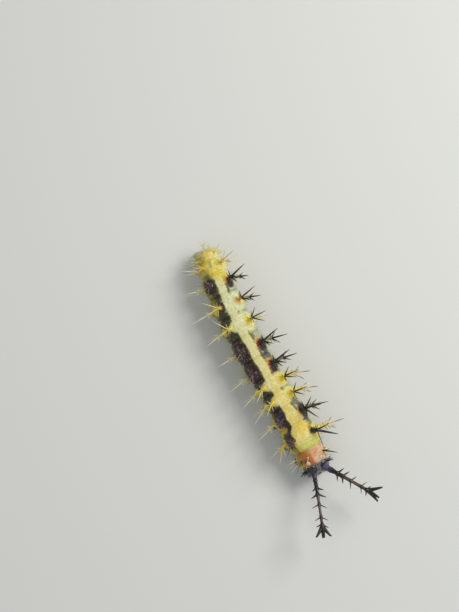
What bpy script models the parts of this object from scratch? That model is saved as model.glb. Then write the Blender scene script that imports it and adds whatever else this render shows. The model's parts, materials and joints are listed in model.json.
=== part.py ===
"""Common castor larva, life size, resting on its legs and prolegs.

Metres, +Z up. +X runs along the body to the head, +Y is the animal's left, and the floor is at Z = 0.
Every segment, leg, proleg and horn is a solid of its own, with a narrow gap to the one it grows from.
"""

import math
import random

import bmesh
import bpy
from mathutils import Matrix, Vector

MM = 0.001
GAP = 0.3 * MM
SEED = 11

# The body's segments from the tail to the neck: name, length, place of the spines along it and their size.
SEGMENTS = (
    ("abdomen_end", 1.40 * MM, 0.35, 0.0),
    ("abdomen_8", 1.10 * MM, 0.44, 0.78),
    ("abdomen_7", 1.75 * MM, 0.48, 1.00),
    ("abdomen_6", 1.80 * MM, 0.50, 1.00),
    ("abdomen_5", 1.85 * MM, 0.47, 1.00),
    ("abdomen_4", 1.90 * MM, 0.53, 1.00),
    ("abdomen_3", 1.60 * MM, 0.58, 1.00),
    ("abdomen_2", 1.35 * MM, 0.52, 0.90),
    ("abdomen_1", 1.35 * MM, 0.50, 0.86),
    ("metathorax", 1.55 * MM, 0.52, 0.98),
    ("mesothorax", 1.90 * MM, 0.55, 1.06),
    ("prothorax", 1.35 * MM, 0.50, 0.0),
)
BODY_LENGTH = sum(segment[1] for segment in SEGMENTS)
# The body's heading in plan, at lengths from the tail. It turns evenly in between.
BENDS = (
    (0.0 * MM, math.radians(-6.5)),
    (11.8 * MM, math.radians(5)),
    (BODY_LENGTH, math.radians(0)),
)
BELLY_HEIGHT = 0.72 * MM
# Half the body's width at lengths from the tail, and its height as a share of its width.
GIRTH = (
    (0.0 * MM, 0.80 * MM),
    (1.0 * MM, 0.98 * MM),
    (3.4 * MM, 1.22 * MM),
    (6.8 * MM, 1.32 * MM),
    (13.3 * MM, 1.34 * MM),
    (16.7 * MM, 1.42 * MM),
    (BODY_LENGTH, 1.08 * MM),
)
HEIGHT_SHARE = 0.93
FOLD_DEPTH = 0.11
FLANK_SWELL = 0.05
FLANK_ANGLE = math.radians(112)
FLANK_SPREAD = math.radians(18)
BODY_SIDES = 18
RING_PLACES = (0.0, 0.14, 0.36, 0.64, 0.86, 1.0)
TAIL_ROUNDING = ((0.0, 0.42), (0.08, 0.68), (0.26, 0.88), (0.55, 0.98), (0.82, 0.97), (1.0, 0.90))

# Branched spines: each row's angle from the middle of the back, its stalk, its branches and their number.
SPINE_ROWS = (
    (34, 0.62 * MM, 1.25 * MM, 4),
    (74, 0.60 * MM, 1.15 * MM, 4),
    (105, 0.42 * MM, 0.80 * MM, 3),
)
SPINE_SINK = 0.35 * MM
STALK_RADII = (0.40 * MM, 0.26 * MM)
BRANCH_RADIUS = 0.25 * MM
BRANCH_SPREAD = math.radians(52)
FORE_SHARE = 0.60
END_LEAN = math.radians(24)
LENGTH_SPREAD = 0.08
# Simple spines where a segment has no branched ones: the share of its length where they stand, their
# angle from the middle of the back, their length, and how far they lean forward in degrees.
PLAIN_SPINES = {
    "prothorax": ((0.5, 22, 0.75 * MM, 12), (0.5, 58, 0.85 * MM, 12), (0.5, 98, 0.80 * MM, 12)),
    "abdomen_end": (
        (0.62, 30, 0.85 * MM, -18),
        (0.60, 82, 0.75 * MM, -18),
        (0.28, 52, 0.70 * MM, -45),
        (0.28, 100, 0.60 * MM, -45),
    ),
}

HEAD_LOBE = (0.66 * MM, 0.62 * MM, 0.98 * MM)
HEAD_LOBE_OFFSET = 0.42 * MM
HEAD_AHEAD = 0.22 * MM
HEAD_HEIGHT = 1.52 * MM
HEAD_YAW = math.radians(4)
FACE_TILT = math.radians(-10)
# The lip and each jaw: how far ahead, to the side and below the head's middle, and their half-axes.
LIP = ((0.42 * MM, 0.0 * MM, 0.62 * MM), (0.34 * MM, 0.46 * MM, 0.30 * MM))
JAW = ((0.34 * MM, 0.22 * MM, 0.88 * MM), (0.30 * MM, 0.27 * MM, 0.27 * MM))
# Head spines: angle from the top, lean forward in degrees and length, and where the skin of the head is.
HEAD_SPINES = ((62, 20, 0.65 * MM), (95, 10, 0.60 * MM), (125, 25, 0.50 * MM))
HEAD_REACH = (0.95 * MM, 0.95 * MM, 0.85 * MM)

HORN_LENGTH = 4.0 * MM
HORN_SPLAY = math.radians(27)
HORN_RISE = math.radians(18)
HORN_BOW = 0.22 * MM
HORN_SEAT = (0.38 * MM, 0.52 * MM, 0.60 * MM)
HORN_RADII = (0.32 * MM, 0.25 * MM)
HORN_STEPS = 6
HORN_WHORLS = (0.30, 0.52, 0.78)
WHORL_SPINES = 3
WHORL_LENGTH = 0.85 * MM
WHORL_LEAN = math.radians(22)
CROWN_PRONGS = 5
CROWN_SPLAY = math.radians(34)
CROWN_BACK = 0.30 * MM
PRONG_LENGTH = 1.30 * MM

# Legs and prolegs start inside the body. Each has an angle from the middle of the back, then places as a
# share of the body's half width, a height and a distance forward, and a radius at every place.
HIP_SHARE = 0.72
LEG_SEGMENTS = ("prothorax", "mesothorax", "metathorax")
LEG_ANGLE = 128
LEG_PLACES = ((0.86, 0.62 * MM, 0.12 * MM), (0.76, 0.26 * MM, 0.22 * MM), (0.76, 0.0 * MM, 0.22 * MM))
LEG_RADII = (0.38 * MM, 0.32 * MM, 0.26 * MM, 0.20 * MM)
PROLEG_SEGMENTS = ("abdomen_3", "abdomen_4", "abdomen_5", "abdomen_6")
PROLEG_ANGLE = 142
PROLEG_PLACES = ((0.70, 0.42 * MM, 0.0 * MM), (0.70, 0.0 * MM, 0.0 * MM))
PROLEG_RADII = (0.46 * MM, 0.36 * MM, 0.42 * MM)
ANAL_ANGLE = 146
ANAL_PLACES = ((0.66, 0.42 * MM, 0.0 * MM), (0.66, 0.0 * MM, 0.0 * MM))
ANAL_RADII = (0.38 * MM, 0.32 * MM, 0.34 * MM)

STALK_SIDES, BRANCH_SIDES, SPINE_SIDES = 6, 4, 5
LOBE_DETAIL = (14, 9)
MOUTH_DETAIL = (8, 6)
ROD_DETAIL = 2
SHARP_EDGE = math.radians(40)


def body_place(s):
    """The body's axis at length s from the tail: the middle, and the directions forward and left."""
    x = y = 0.0
    heading = BENDS[0][1]
    for (start, first), (end, last) in zip(BENDS, BENDS[1:]):
        if s <= start and start > 0:
            break
        run = min(s, end) - start
        rate = (last - first) / (end - start)
        heading = first + rate * run
        x += (math.sin(heading) - math.sin(first)) / rate
        y += (math.cos(first) - math.cos(heading)) / rate
    forward = Vector((math.cos(heading), math.sin(heading), 0))
    left = Vector((-math.sin(heading), math.cos(heading), 0))
    beyond = max(0.0, s - BODY_LENGTH)
    return Vector((x, y, BELLY_HEIGHT + half_width(s) * HEIGHT_SHARE)) + forward * beyond, forward, left


def half_width(s):
    """Half the body's width at length s, eased between the places in GIRTH."""
    for (start, low), (end, high) in zip(GIRTH, GIRTH[1:]):
        if s <= end:
            share = max(0.0, (s - start) / (end - start))
            return low + (high - low) * (0.5 - 0.5 * math.cos(math.pi * share))
    return GIRTH[-1][1]


def skin_point(s, angle, swell=1.0, extra=0.0):
    """A point on the body at length s and an angle from the middle of the back, towards the left."""
    middle, _, left = body_place(s)
    off_fold = (abs((angle + math.pi) % (2 * math.pi) - math.pi) - FLANK_ANGLE) / FLANK_SPREAD
    radius = half_width(s) * swell * (1 + FLANK_SWELL * math.exp(-off_fold * off_fold))
    across = (radius + extra) * math.sin(angle)
    up = (radius * HEIGHT_SHARE + extra) * math.cos(angle)
    return middle + left * across + Vector((0, 0, up))


def skin_normal(s, angle):
    left = body_place(s)[2]
    normal = left * math.sin(angle) * HEIGHT_SHARE + Vector((0, 0, math.cos(angle)))
    return normal.normalized()


def segment_span(name):
    """Where a segment starts and ends along the body, and where its spines stand."""
    start = 0.0
    for segment, length, share, _ in SEGMENTS:
        if segment == name:
            return start, start + length, start + length * share
        start += length
    raise ValueError(name)


def mesh_from(bm):
    mesh = bpy.data.meshes.new("shape")
    bm.to_mesh(mesh)
    bm.free()
    return mesh


def loft(rings):
    """A closed mesh through rings of points, each ring with as many points as the others."""
    bm = bmesh.new()
    rows = [[bm.verts.new(point) for point in ring] for ring in rings]
    count = len(rings[0])
    for row, following in zip(rows, rows[1:]):
        for i in range(count):
            j = (i + 1) % count
            bm.faces.new((row[i], row[j], following[j], following[i]))
    bm.faces.new(rows[0])
    bm.faces.new(rows[-1])
    bmesh.ops.recalc_face_normals(bm, faces=bm.faces)
    return mesh_from(bm)


def segment_core(name, grow=0.0):
    """A segment's body without its spines, or a copy grown by a distance to cut its neighbours with."""
    start, end, _ = segment_span(name)
    at_tail = name == SEGMENTS[0][0]
    first = start + (0 if at_tail else GAP / 2) - grow
    last = end - GAP / 2 + grow
    if at_tail:
        shares = TAIL_ROUNDING
    else:
        shares = [(place, 1 - FOLD_DEPTH * abs(2 * place - 1) ** 3) for place in RING_PLACES]
    angles = [2 * math.pi * i / BODY_SIDES for i in range(BODY_SIDES)]
    rings = []
    for place, swell in shares:
        s = first + (last - first) * place
        rings.append([skin_point(s, angle, swell, grow) for angle in angles])
    return loft(rings)


def cone(start, end, start_radius, end_radius, sides):
    """A tapered round piece from one point to another, pointed where its end radius is zero."""
    along = end - start
    turn = along.to_track_quat("Z", "Y").to_matrix().to_4x4()
    place = Matrix.Translation((start + end) / 2) @ turn
    bm = bmesh.new()
    bmesh.ops.create_cone(
        bm,
        cap_ends=True,
        segments=sides,
        radius1=start_radius,
        radius2=end_radius,
        depth=along.length,
        matrix=place,
    )
    bmesh.ops.remove_doubles(bm, verts=bm.verts, dist=0.001 * MM)
    return mesh_from(bm)


def egg(middle, radii, detail, turn):
    """An ellipsoid with three half-axes, turned by a matrix."""
    place = Matrix.Translation(middle) @ turn @ Matrix.Diagonal((*radii, 1))
    bm = bmesh.new()
    bmesh.ops.create_uvsphere(bm, u_segments=detail[0], v_segments=detail[1], radius=1, matrix=place)
    return mesh_from(bm)


def rod(points, radii, detail):
    """A round rod along points with a radius at each, its two ends closed flat."""
    curve = bpy.data.curves.new("rod", "CURVE")
    curve.dimensions = "3D"
    curve.bevel_depth = 1
    curve.bevel_resolution = detail
    curve.use_fill_caps = True
    spline = curve.splines.new("POLY")
    spline.points.add(len(points) - 1)
    for spot, point, radius in zip(spline.points, points, radii):
        spot.co = (*point, 1)
        spot.radius = radius
    holder = bpy.data.objects.new("rod", curve)
    bpy.context.scene.collection.objects.link(holder)
    bpy.context.view_layer.update()
    graph = bpy.context.evaluated_depsgraph_get()
    made = bpy.data.meshes.new_from_object(holder.evaluated_get(graph))
    bpy.data.objects.remove(holder)
    bm = bmesh.new()
    bm.from_mesh(made)
    bpy.data.meshes.remove(made)
    bmesh.ops.remove_doubles(bm, verts=bm.verts, dist=0.001 * MM)
    bmesh.ops.recalc_face_normals(bm, faces=bm.faces)
    return mesh_from(bm)


def piece_volume(faces):
    total = 0.0
    for face in faces:
        first = face.verts[0].co
        for second, third in zip(face.verts[1:], face.verts[2:]):
            total += first.dot(second.co.cross(third.co)) / 6
    return total


def keep_largest(bm):
    """Leaves only the closed surface with the most volume."""
    left = set(bm.faces)
    surfaces = []
    while left:
        surface = set()
        edge_of_it = [left.pop()]
        while edge_of_it:
            face = edge_of_it.pop()
            surface.add(face)
            for side in face.edges:
                for other in side.link_faces:
                    if other in left:
                        left.discard(other)
                        edge_of_it.append(other)
        surfaces.append(surface)
    largest = max(surfaces, key=piece_volume)
    spare = [face for face in bm.faces if face not in largest]
    bmesh.ops.delete(bm, geom=spare, context="FACES")


def mesh_volume(mesh):
    bm = bmesh.new()
    bm.from_mesh(mesh)
    volume = bm.calc_volume()
    bm.free()
    return volume


def combine(core, pieces, operation):
    """The core with the pieces joined to it or cut from it. A join never leaves less than the core."""
    made = run_boolean(core, pieces, operation, "EXACT")
    if operation == "UNION" and mesh_volume(made) < mesh_volume(core):
        made = run_boolean(core, pieces, operation, "MANIFOLD")
    return made


def run_boolean(core, pieces, operation, solver):
    """One Boolean on a collection of closed pieces, applied, with its largest surface kept."""
    tools = bpy.data.collections.new("tools")
    bpy.context.scene.collection.children.link(tools)
    base = bpy.data.objects.new("base", core)
    bpy.context.scene.collection.objects.link(base)
    for piece in pieces:
        tools.objects.link(bpy.data.objects.new("tool", piece))
    change = base.modifiers.new("change", "BOOLEAN")
    change.operation = operation
    change.operand_type = "COLLECTION"
    change.collection = tools
    change.solver = solver
    bpy.context.view_layer.update()
    graph = bpy.context.evaluated_depsgraph_get()
    made = bpy.data.meshes.new_from_object(base.evaluated_get(graph))
    for tool in list(tools.objects):
        bpy.data.objects.remove(tool)
    bpy.data.objects.remove(base)
    bpy.data.collections.remove(tools)
    bm = bmesh.new()
    bm.from_mesh(made)
    bpy.data.meshes.remove(made)
    bmesh.ops.triangulate(bm, faces=bm.faces)
    keep_largest(bm)
    return mesh_from(bm)


def vary(length):
    return length * (1 + draw.uniform(-LENGTH_SPREAD, LENGTH_SPREAD))


def branched_spine(s, angle, stalk, branch, branches, turn):
    """One branched spine: a stalk sunk in the skin, a spike at its top, and branches round it."""
    normal = skin_normal(s, angle)
    forward = body_place(s)[1]
    share = 2 * s / BODY_LENGTH - 1
    lean = END_LEAN * share * abs(share)
    axis = (normal * math.cos(lean) + forward * math.sin(lean)).normalized()
    root = skin_point(s, angle)
    top = root + axis * stalk
    ahead = (forward - axis * forward.dot(axis)).normalized()
    aside = axis.cross(ahead)
    low = top - axis * BRANCH_RADIUS
    pieces = [
        cone(root - axis * SPINE_SINK, top, *STALK_RADII, STALK_SIDES),
        cone(low, top + axis * vary(branch), BRANCH_RADIUS, 0, BRANCH_SIDES),
    ]
    for i in range(branches):
        around = turn + 2 * math.pi * i / branches
        outward = ahead * math.cos(around) * FORE_SHARE + aside * math.sin(around)
        way = (axis * math.cos(BRANCH_SPREAD) + outward * math.sin(BRANCH_SPREAD)).normalized()
        pieces.append(cone(low, low + way * vary(branch), BRANCH_RADIUS, 0, BRANCH_SIDES))
    return pieces


def plain_spine(root, way, length):
    return cone(root - way * SPINE_SINK, root + way * length, BRANCH_RADIUS, 0, SPINE_SIDES)


def segment_spines(name, number):
    """All the spines of one segment, with the branches turned half a step from those of the next one."""
    size = SEGMENTS[number][3]
    start, end, place = segment_span(name)
    pieces = []
    for side in (1, -1):
        for degrees, stalk, branch, branches in SPINE_ROWS if size else ():
            turn = math.pi / branches * (number % 2)
            angle = math.radians(degrees) * side
            pieces += branched_spine(place, angle, stalk * size, branch * size, branches, turn)
        for share, degrees, length, lean_degrees in PLAIN_SPINES.get(name, ()):
            angle = math.radians(degrees) * side
            lean = math.radians(lean_degrees)
            s = start + (end - start) * share
            way = skin_normal(s, angle) * math.cos(lean) + body_place(s)[1] * math.sin(lean)
            pieces.append(plain_spine(skin_point(s, angle), way, vary(length)))
    return pieces


def limb(name, side, angle, places, radii):
    """A leg or proleg from inside the body to a flat foot on the floor, cut clear of the body."""
    s = segment_span(name)[2]
    middle, forward, left = body_place(s)
    points = [skin_point(s, math.radians(angle) * side, HIP_SHARE)]
    for share, height, ahead in places:
        spot = middle + left * side * half_width(s) * share + forward * ahead
        points.append(Vector((spot.x, spot.y, height)))
    return combine(rod(points, radii, ROD_DETAIL), [segment_core(name, GAP)], "DIFFERENCE")


def head_middle():
    """The middle of the head, and the directions forward and left as the head is turned."""
    end, forward, left = body_place(BODY_LENGTH)
    middle = end + forward * (GAP / 2 + HEAD_AHEAD)
    turn = Matrix.Rotation(HEAD_YAW, 3, "Z")
    return Vector((middle.x, middle.y, HEAD_HEIGHT)), turn @ forward, turn @ left


def head_turn():
    _, forward, left = head_middle()
    heading = math.atan2(forward.y, forward.x)
    return Matrix.Rotation(heading, 4, "Z") @ Matrix.Rotation(FACE_TILT, 4, "Y")


def head_lobes(grow=0.0):
    """The head's two rounded lobes, or copies grown by a distance to cut the horns with."""
    middle, _, left = head_middle()
    radii = [radius + grow for radius in HEAD_LOBE]
    turn = head_turn()
    return [egg(middle + left * side * HEAD_LOBE_OFFSET, radii, LOBE_DETAIL, turn) for side in (1, -1)]


def head_solid():
    """Two rounded lobes with a groove between, a lip and jaws below, and short spines at the sides."""
    middle, _, left = head_middle()
    turn = head_turn()
    axes = turn.to_3x3()
    ahead = axes @ Vector((1, 0, 0))
    down = axes @ Vector((0, 0, -1))

    def mouth_part(form, side):
        (forth, apart, below), radii = form
        return egg(middle + ahead * forth + left * side * apart + down * below, radii, MOUTH_DETAIL, turn)

    lobes = head_lobes()
    pieces = [lobes[1], mouth_part(LIP, 1)]
    for side in (1, -1):
        pieces.append(mouth_part(JAW, side))
        for degrees, front, length in HEAD_SPINES:
            around = math.radians(degrees)
            out = left * side * math.sin(around) + Vector((0, 0, math.cos(around)))
            way = (out + ahead * math.tan(math.radians(front))).normalized()
            reach = Vector([part * share for part, share in zip(out, HEAD_REACH)])
            pieces.append(plain_spine(middle + reach, way, length))
    whole = combine(lobes[0], pieces, "UNION")
    return combine(whole, [segment_core("prothorax", GAP)], "DIFFERENCE")


def horn_solid(side):
    """A horn on top of one lobe: a stem with whorls of thorns and a crown of prongs at its end."""
    middle, forward, left = head_middle()
    out = left * side
    level = forward * math.cos(HORN_SPLAY) + out * math.sin(HORN_SPLAY)
    way = level * math.cos(HORN_RISE) + Vector((0, 0, 1)) * math.sin(HORN_RISE)
    bow = Vector((0, 0, 1)) * math.cos(HORN_RISE) - level * math.sin(HORN_RISE)
    aside = way.cross(bow)
    ahead, apart, up = HORN_SEAT
    seat = middle + forward * ahead + out * apart + Vector((0, 0, up))

    def along(share):
        return seat + way * HORN_LENGTH * share + bow * HORN_BOW * math.sin(math.pi * share)

    def thorn(centre, around, lean, length):
        outward = bow * math.cos(around) + aside * math.sin(around)
        spike = outward * math.cos(lean) + way * math.sin(lean)
        return cone(centre, centre + spike * vary(length), BRANCH_RADIUS, 0, BRANCH_SIDES)

    shares = [i / HORN_STEPS for i in range(HORN_STEPS + 1)]
    radii = [HORN_RADII[0] + (HORN_RADII[1] - HORN_RADII[0]) * share for share in shares]
    pieces = []
    for number, share in enumerate(HORN_WHORLS):
        for i in range(WHORL_SPINES):
            around = 2 * math.pi * (i + number / 2) / WHORL_SPINES
            pieces.append(thorn(along(share), around, WHORL_LEAN, WHORL_LENGTH))
    crown = along(1) - way * CROWN_BACK
    for i in range(CROWN_PRONGS):
        around = 2 * math.pi * i / CROWN_PRONGS
        pieces.append(thorn(crown, around, math.pi / 2 - CROWN_SPLAY, PRONG_LENGTH))
    return combine(rod([along(share) for share in shares], radii, ROD_DETAIL), pieces, "UNION")


def paint(name, colour, roughness):
    material = bpy.data.materials.new(name)
    material.use_nodes = True
    shader = material.node_tree.nodes["Principled BSDF"]
    shader.inputs["Base Color"].default_value = (*colour, 1)
    shader.inputs["Roughness"].default_value = roughness
    shader.inputs["Metallic"].default_value = 0
    return material


def add_node(name, mesh, colour, roughness):
    """Places a mesh in the larva's collection as a named solid with a finish of its own."""
    obj = bpy.data.objects.new(name, mesh)
    larva.objects.link(obj)
    mesh.materials.clear()
    mesh.materials.append(paint(name + "_finish", colour, roughness))
    mesh.shade_smooth()
    mesh.set_sharp_from_angle(angle=SHARP_EDGE)


def stand_on_centre():
    """Moves every solid so that the middle of the whole box's underside is the origin."""
    bpy.context.view_layer.update()
    corners = [obj.matrix_world @ vertex.co for obj in larva.objects for vertex in obj.data.vertices]
    low = Vector([min(corner[i] for corner in corners) for i in range(3)])
    high = Vector([max(corner[i] for corner in corners) for i in range(3)])
    for obj in larva.objects:
        obj.location -= Vector(((low.x + high.x) / 2, (low.y + high.y) / 2, 0))


for old in list(bpy.data.objects):
    bpy.data.objects.remove(old)
larva = bpy.data.collections.new("castor_larva")
bpy.context.scene.collection.children.link(larva)
draw = random.Random(SEED)

DARK = (0.06, 0.035, 0.03)
OLIVE = (0.42, 0.40, 0.17)
YELLOW = (0.65, 0.50, 0.12)
SALMON = (0.62, 0.33, 0.16)
SEGMENT_COLOURS = {
    "abdomen_end": YELLOW,
    "abdomen_8": YELLOW,
    "prothorax": SALMON,
}

for number, (name, *_) in enumerate(SEGMENTS):
    body = segment_core(name)
    spines = segment_spines(name, number)
    add_node(name, combine(body, spines, "UNION"), SEGMENT_COLOURS.get(name, OLIVE), 0.5)

for side, word in ((1, "left"), (-1, "right")):
    for number, name in enumerate(LEG_SEGMENTS, 1):
        leg = limb(name, side, LEG_ANGLE, LEG_PLACES, LEG_RADII)
        add_node(f"leg_{number}_{word}", leg, DARK, 0.35)
    for number, name in enumerate(PROLEG_SEGMENTS, 3):
        proleg = limb(name, side, PROLEG_ANGLE, PROLEG_PLACES, PROLEG_RADII)
        add_node(f"proleg_{number}_{word}", proleg, OLIVE, 0.5)
    anal = limb("abdomen_end", side, ANAL_ANGLE, ANAL_PLACES, ANAL_RADII)
    add_node(f"proleg_end_{word}", anal, YELLOW, 0.5)

add_node("head", head_solid(), DARK, 0.25)
for side, word in ((1, "left"), (-1, "right")):
    horn = combine(horn_solid(side), head_lobes(GAP), "DIFFERENCE")
    add_node(f"horn_{word}", horn, DARK, 0.3)
stand_on_centre()
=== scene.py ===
# %% [markdown]
# # A common castor larva, life size
# The larva is 19 mm long from tail to neck and carries two branched horns on its head. Its body is a row
# of soft rings under one skin, and ten of the rings wear six branched spines each. This lesson dresses
# the solid model in that skin, in its colours, and in spines as thin as the real ones.
# The solid model comes first. It is the frame that every piece here is fitted to.

# %% Load the solid model
import json
import math

import bpy
import numpy as np
from mathutils import Matrix, Vector, noise


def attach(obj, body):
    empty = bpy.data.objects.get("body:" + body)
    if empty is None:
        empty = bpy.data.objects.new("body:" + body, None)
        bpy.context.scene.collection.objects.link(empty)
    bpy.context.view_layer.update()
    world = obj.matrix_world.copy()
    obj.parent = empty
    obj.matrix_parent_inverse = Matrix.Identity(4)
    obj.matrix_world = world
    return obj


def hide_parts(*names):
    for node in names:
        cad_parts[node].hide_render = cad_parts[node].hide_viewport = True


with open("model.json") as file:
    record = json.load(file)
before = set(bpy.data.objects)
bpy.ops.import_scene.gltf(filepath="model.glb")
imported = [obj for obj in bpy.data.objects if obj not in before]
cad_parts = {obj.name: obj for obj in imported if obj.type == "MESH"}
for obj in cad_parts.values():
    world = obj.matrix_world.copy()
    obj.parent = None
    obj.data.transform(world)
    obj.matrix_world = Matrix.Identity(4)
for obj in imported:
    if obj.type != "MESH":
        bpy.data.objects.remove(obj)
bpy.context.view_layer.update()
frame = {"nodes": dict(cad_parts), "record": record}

nodes = sorted(frame["nodes"])

# %% [markdown]
# ## The body's own measures
# A larva is easiest to describe along its own back: how far a point is from the tail, and how far round it
# is from the middle of the back. These are the segments of the solid model from tail to neck, in
# millimetres: the name, the length, where the spines stand as a share of it, and their size.

# %% Segments
MM = 0.001
SEGMENTS = (
    ("abdomen_end", 1.40, 0.35, 0.0),
    ("abdomen_8", 1.10, 0.44, 0.78),
    ("abdomen_7", 1.75, 0.48, 1.00),
    ("abdomen_6", 1.80, 0.50, 1.00),
    ("abdomen_5", 1.85, 0.47, 1.00),
    ("abdomen_4", 1.90, 0.53, 1.00),
    ("abdomen_3", 1.60, 0.58, 1.00),
    ("abdomen_2", 1.35, 0.52, 0.90),
    ("abdomen_1", 1.35, 0.50, 0.86),
    ("metathorax", 1.55, 0.52, 0.98),
    ("mesothorax", 1.90, 0.55, 1.06),
    ("prothorax", 1.35, 0.50, 0.0),
)
BODY_LENGTH = sum(segment[1] for segment in SEGMENTS)

# For each segment: its start, its end, the place of its spines and their size.
SPANS = {}
reached = 0.0
for name, length, share, size in SEGMENTS:
    SPANS[name] = (reached, reached + length, reached + length * share, size)
    reached += length
print("body length", round(BODY_LENGTH, 2), "mm in", len(SPANS), "segments")

# %% Where the collar begins
# On the skin the salmon collar begins a little further forward than the solid's gap does.
COLLAR_SHIFT = 0.27
start, end, place, size = SPANS["mesothorax"]
SPANS["mesothorax"] = (start, end + COLLAR_SHIFT, place, size)
start, end, place, size = SPANS["prothorax"]
SPANS["prothorax"] = (start + COLLAR_SHIFT, end, place, size)
print("collar from", round(SPANS["prothorax"][0], 2), "to", round(SPANS["prothorax"][1], 2), "mm")

# %% Bends and girth
# Where the back turns: the length from the tail and the heading in degrees.
BENDS = ((0.0, -6.5), (11.8, 5.0), (BODY_LENGTH, 0.0))
# How wide the body is: the length from the tail and half the width.
GIRTH = ((0.0, 0.80), (1.0, 0.98), (3.4, 1.22), (6.8, 1.32), (13.3, 1.34), (16.7, 1.42))
GIRTH += ((BODY_LENGTH, 1.08),)
# The belly's height over the floor, and how high the body is against its width.
BELLY_HEIGHT = 0.72
HEIGHT_SHARE = 0.93
# How much thinner a segment is at its joints.
FOLD_DEPTH = 0.080
# Where the skin begins at the tail, how long its round end is, and how far it laps over the neck.
TAIL_START, TAIL_CURVE = 0.34, 0.70
LIP = 0.30
# The soft bulge along each flank: its share of the girth, its angle and its spread in degrees.
FLANK_SWELL, FLANK_ANGLE, FLANK_SPREAD = 0.05, 112.0, 18.0
print("widest part", 2 * max(width for _, width in GIRTH), "mm")

# %% Walk along the body
line_s = np.linspace(0, BODY_LENGTH + 3, 6001)
line_heading = np.radians(np.interp(line_s, *zip(*BENDS)))
line_step = np.diff(line_s)
line_middle = (line_heading[1:] + line_heading[:-1]) / 2
line_x = np.concatenate(([0], np.cumsum(np.cos(line_middle) * line_step)))
line_y = np.concatenate(([0], np.cumsum(np.sin(line_middle) * line_step)))


def half_width(s):
    """Half the body's width at length s, eased from each place in GIRTH to the next."""
    places, widths = map(np.array, zip(*GIRTH))
    s = np.clip(s, places[0], places[-1])
    which = np.clip(np.searchsorted(places, s) - 1, 0, len(places) - 2)
    share = (s - places[which]) / (places[which + 1] - places[which])
    return widths[which] + (widths[which + 1] - widths[which]) * (0.5 - 0.5 * np.cos(np.pi * share))


def body_line(s):
    """The middle of the body at length s, and the directions forward and left there."""
    s = np.asarray(s, float)
    heading = np.interp(s, line_s, line_heading)
    x = np.interp(s, line_s, line_x) + np.minimum(s, 0) * np.cos(heading)
    y = np.interp(s, line_s, line_y) + np.minimum(s, 0) * np.sin(heading)
    zero = np.zeros_like(heading)
    middle = np.stack((x, y, BELLY_HEIGHT + half_width(s) * HEIGHT_SHARE), -1)
    forward = np.stack((np.cos(heading), np.sin(heading), zero), -1)
    left = np.stack((-np.sin(heading), np.cos(heading), zero), -1)
    return middle, forward, left


print("the back bends", round(float(np.ptp(line_y)), 2), "mm to the side")

# %% Stand where the solid model stands
# The solid model stands on its own middle. One marked sole tells how far it was moved to get there.
SOLE_OUT = 0.70
SOLE_MARK = next(m for m in frame["record"]["mounts"] if m["name"] == "foot_flat")["pos_m"]
sole_s = SPANS["abdomen_4"][2]
sole_middle, _, sole_left = body_line(sole_s)
sole_own = sole_middle + sole_left * half_width(sole_s) * SOLE_OUT
SHIFT = np.array(SOLE_MARK) / MM - sole_own
SHIFT[2] = 0
print("body moved by", SHIFT.round(3), "mm")

# %% [markdown]
# ## The view, the floor and the light
# The larva is seen from almost straight above, turned so that it walks down the picture. The camera was
# solved from the places of the spines along the back, so its numbers are not round ones. The light is one
# broad soft lamp on the animal's left and a weak one on its right, over a pale floor.

# %% Camera
PITCH, ROLL, TURN = math.radians(5), math.radians(5.727), math.radians(63.706)
AIM = np.array((5.1567, -0.2753, 1.5))
CAMERA_DISTANCE = 120.0
PIXELS_PER_MM = 12.8604
FRAME_HEIGHT = 612
SENSOR = 36.0

back = Vector((math.sin(PITCH), -math.sin(ROLL) * math.cos(PITCH), math.cos(ROLL) * math.cos(PITCH)))
across = Vector((math.cos(TURN), math.sin(TURN), 0))
across = (across - back * back.dot(across)).normalized()
upward = back.cross(across)
camera_data = bpy.data.cameras.new("view")
camera_data.lens = PIXELS_PER_MM * CAMERA_DISTANCE * SENSOR / FRAME_HEIGHT
camera_data.sensor_width = SENSOR
camera_data.clip_start = 0.002
camera_data.clip_end = 10
camera = bpy.data.objects.new("view", camera_data)
spot = Vector((AIM + SHIFT) * MM) + back * CAMERA_DISTANCE * MM
turn = Matrix((across, upward, back)).transposed().to_4x4()
camera.matrix_world = Matrix.Translation(spot) @ turn
bpy.context.scene.collection.objects.link(camera)
bpy.context.scene.camera = camera
print("lens", round(camera_data.lens, 2), "mm")


# %% Floor and lamps
def lamp(name, way, distance, size, power, colour):
    """A soft square lamp that looks at the larva from a direction."""
    data = bpy.data.lights.new(name, "AREA")
    data.size = size
    data.energy = power
    data.color = colour
    obj = bpy.data.objects.new(name, data)
    way = Vector(way).normalized()
    obj.location = way * distance
    obj.rotation_euler = way.to_track_quat("Z", "Y").to_euler()
    bpy.context.scene.collection.objects.link(obj)
    return obj


def shader_nodes(name):
    """A new material with its Principled shader, and a helper that adds wired nodes to it."""
    material = bpy.data.materials.new(name)
    material.use_nodes = True
    tree = material.node_tree
    shader = tree.nodes["Principled BSDF"]

    def add(kind, inputs=(), **settings):
        node = tree.nodes.new(kind)
        for key, value in settings.items():
            setattr(node, key, value)
        for key, value in dict(inputs).items():
            if isinstance(value, bpy.types.NodeSocket):
                tree.links.new(value, node.inputs[key])
            else:
                node.inputs[key].default_value = value
        return node

    return material, shader, add, tree.links.new


FLOOR_REACH = 1.5
corners = [(x * FLOOR_REACH, y * FLOOR_REACH, 0) for x, y in ((-1, -1), (1, -1), (1, 1), (-1, 1))]
floor_mesh = bpy.data.meshes.new("floor")
floor_mesh.from_pydata(corners, [], [(0, 1, 2, 3)])
floor = bpy.data.objects.new("floor", floor_mesh)
bpy.context.scene.collection.objects.link(floor)
paper, shader, add, link = shader_nodes("floor_paper")
shader.inputs["Base Color"].default_value = (0.72, 0.72, 0.69, 1)
shader.inputs["Roughness"].default_value = 0.9
floor_mesh.materials.append(paper)

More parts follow.
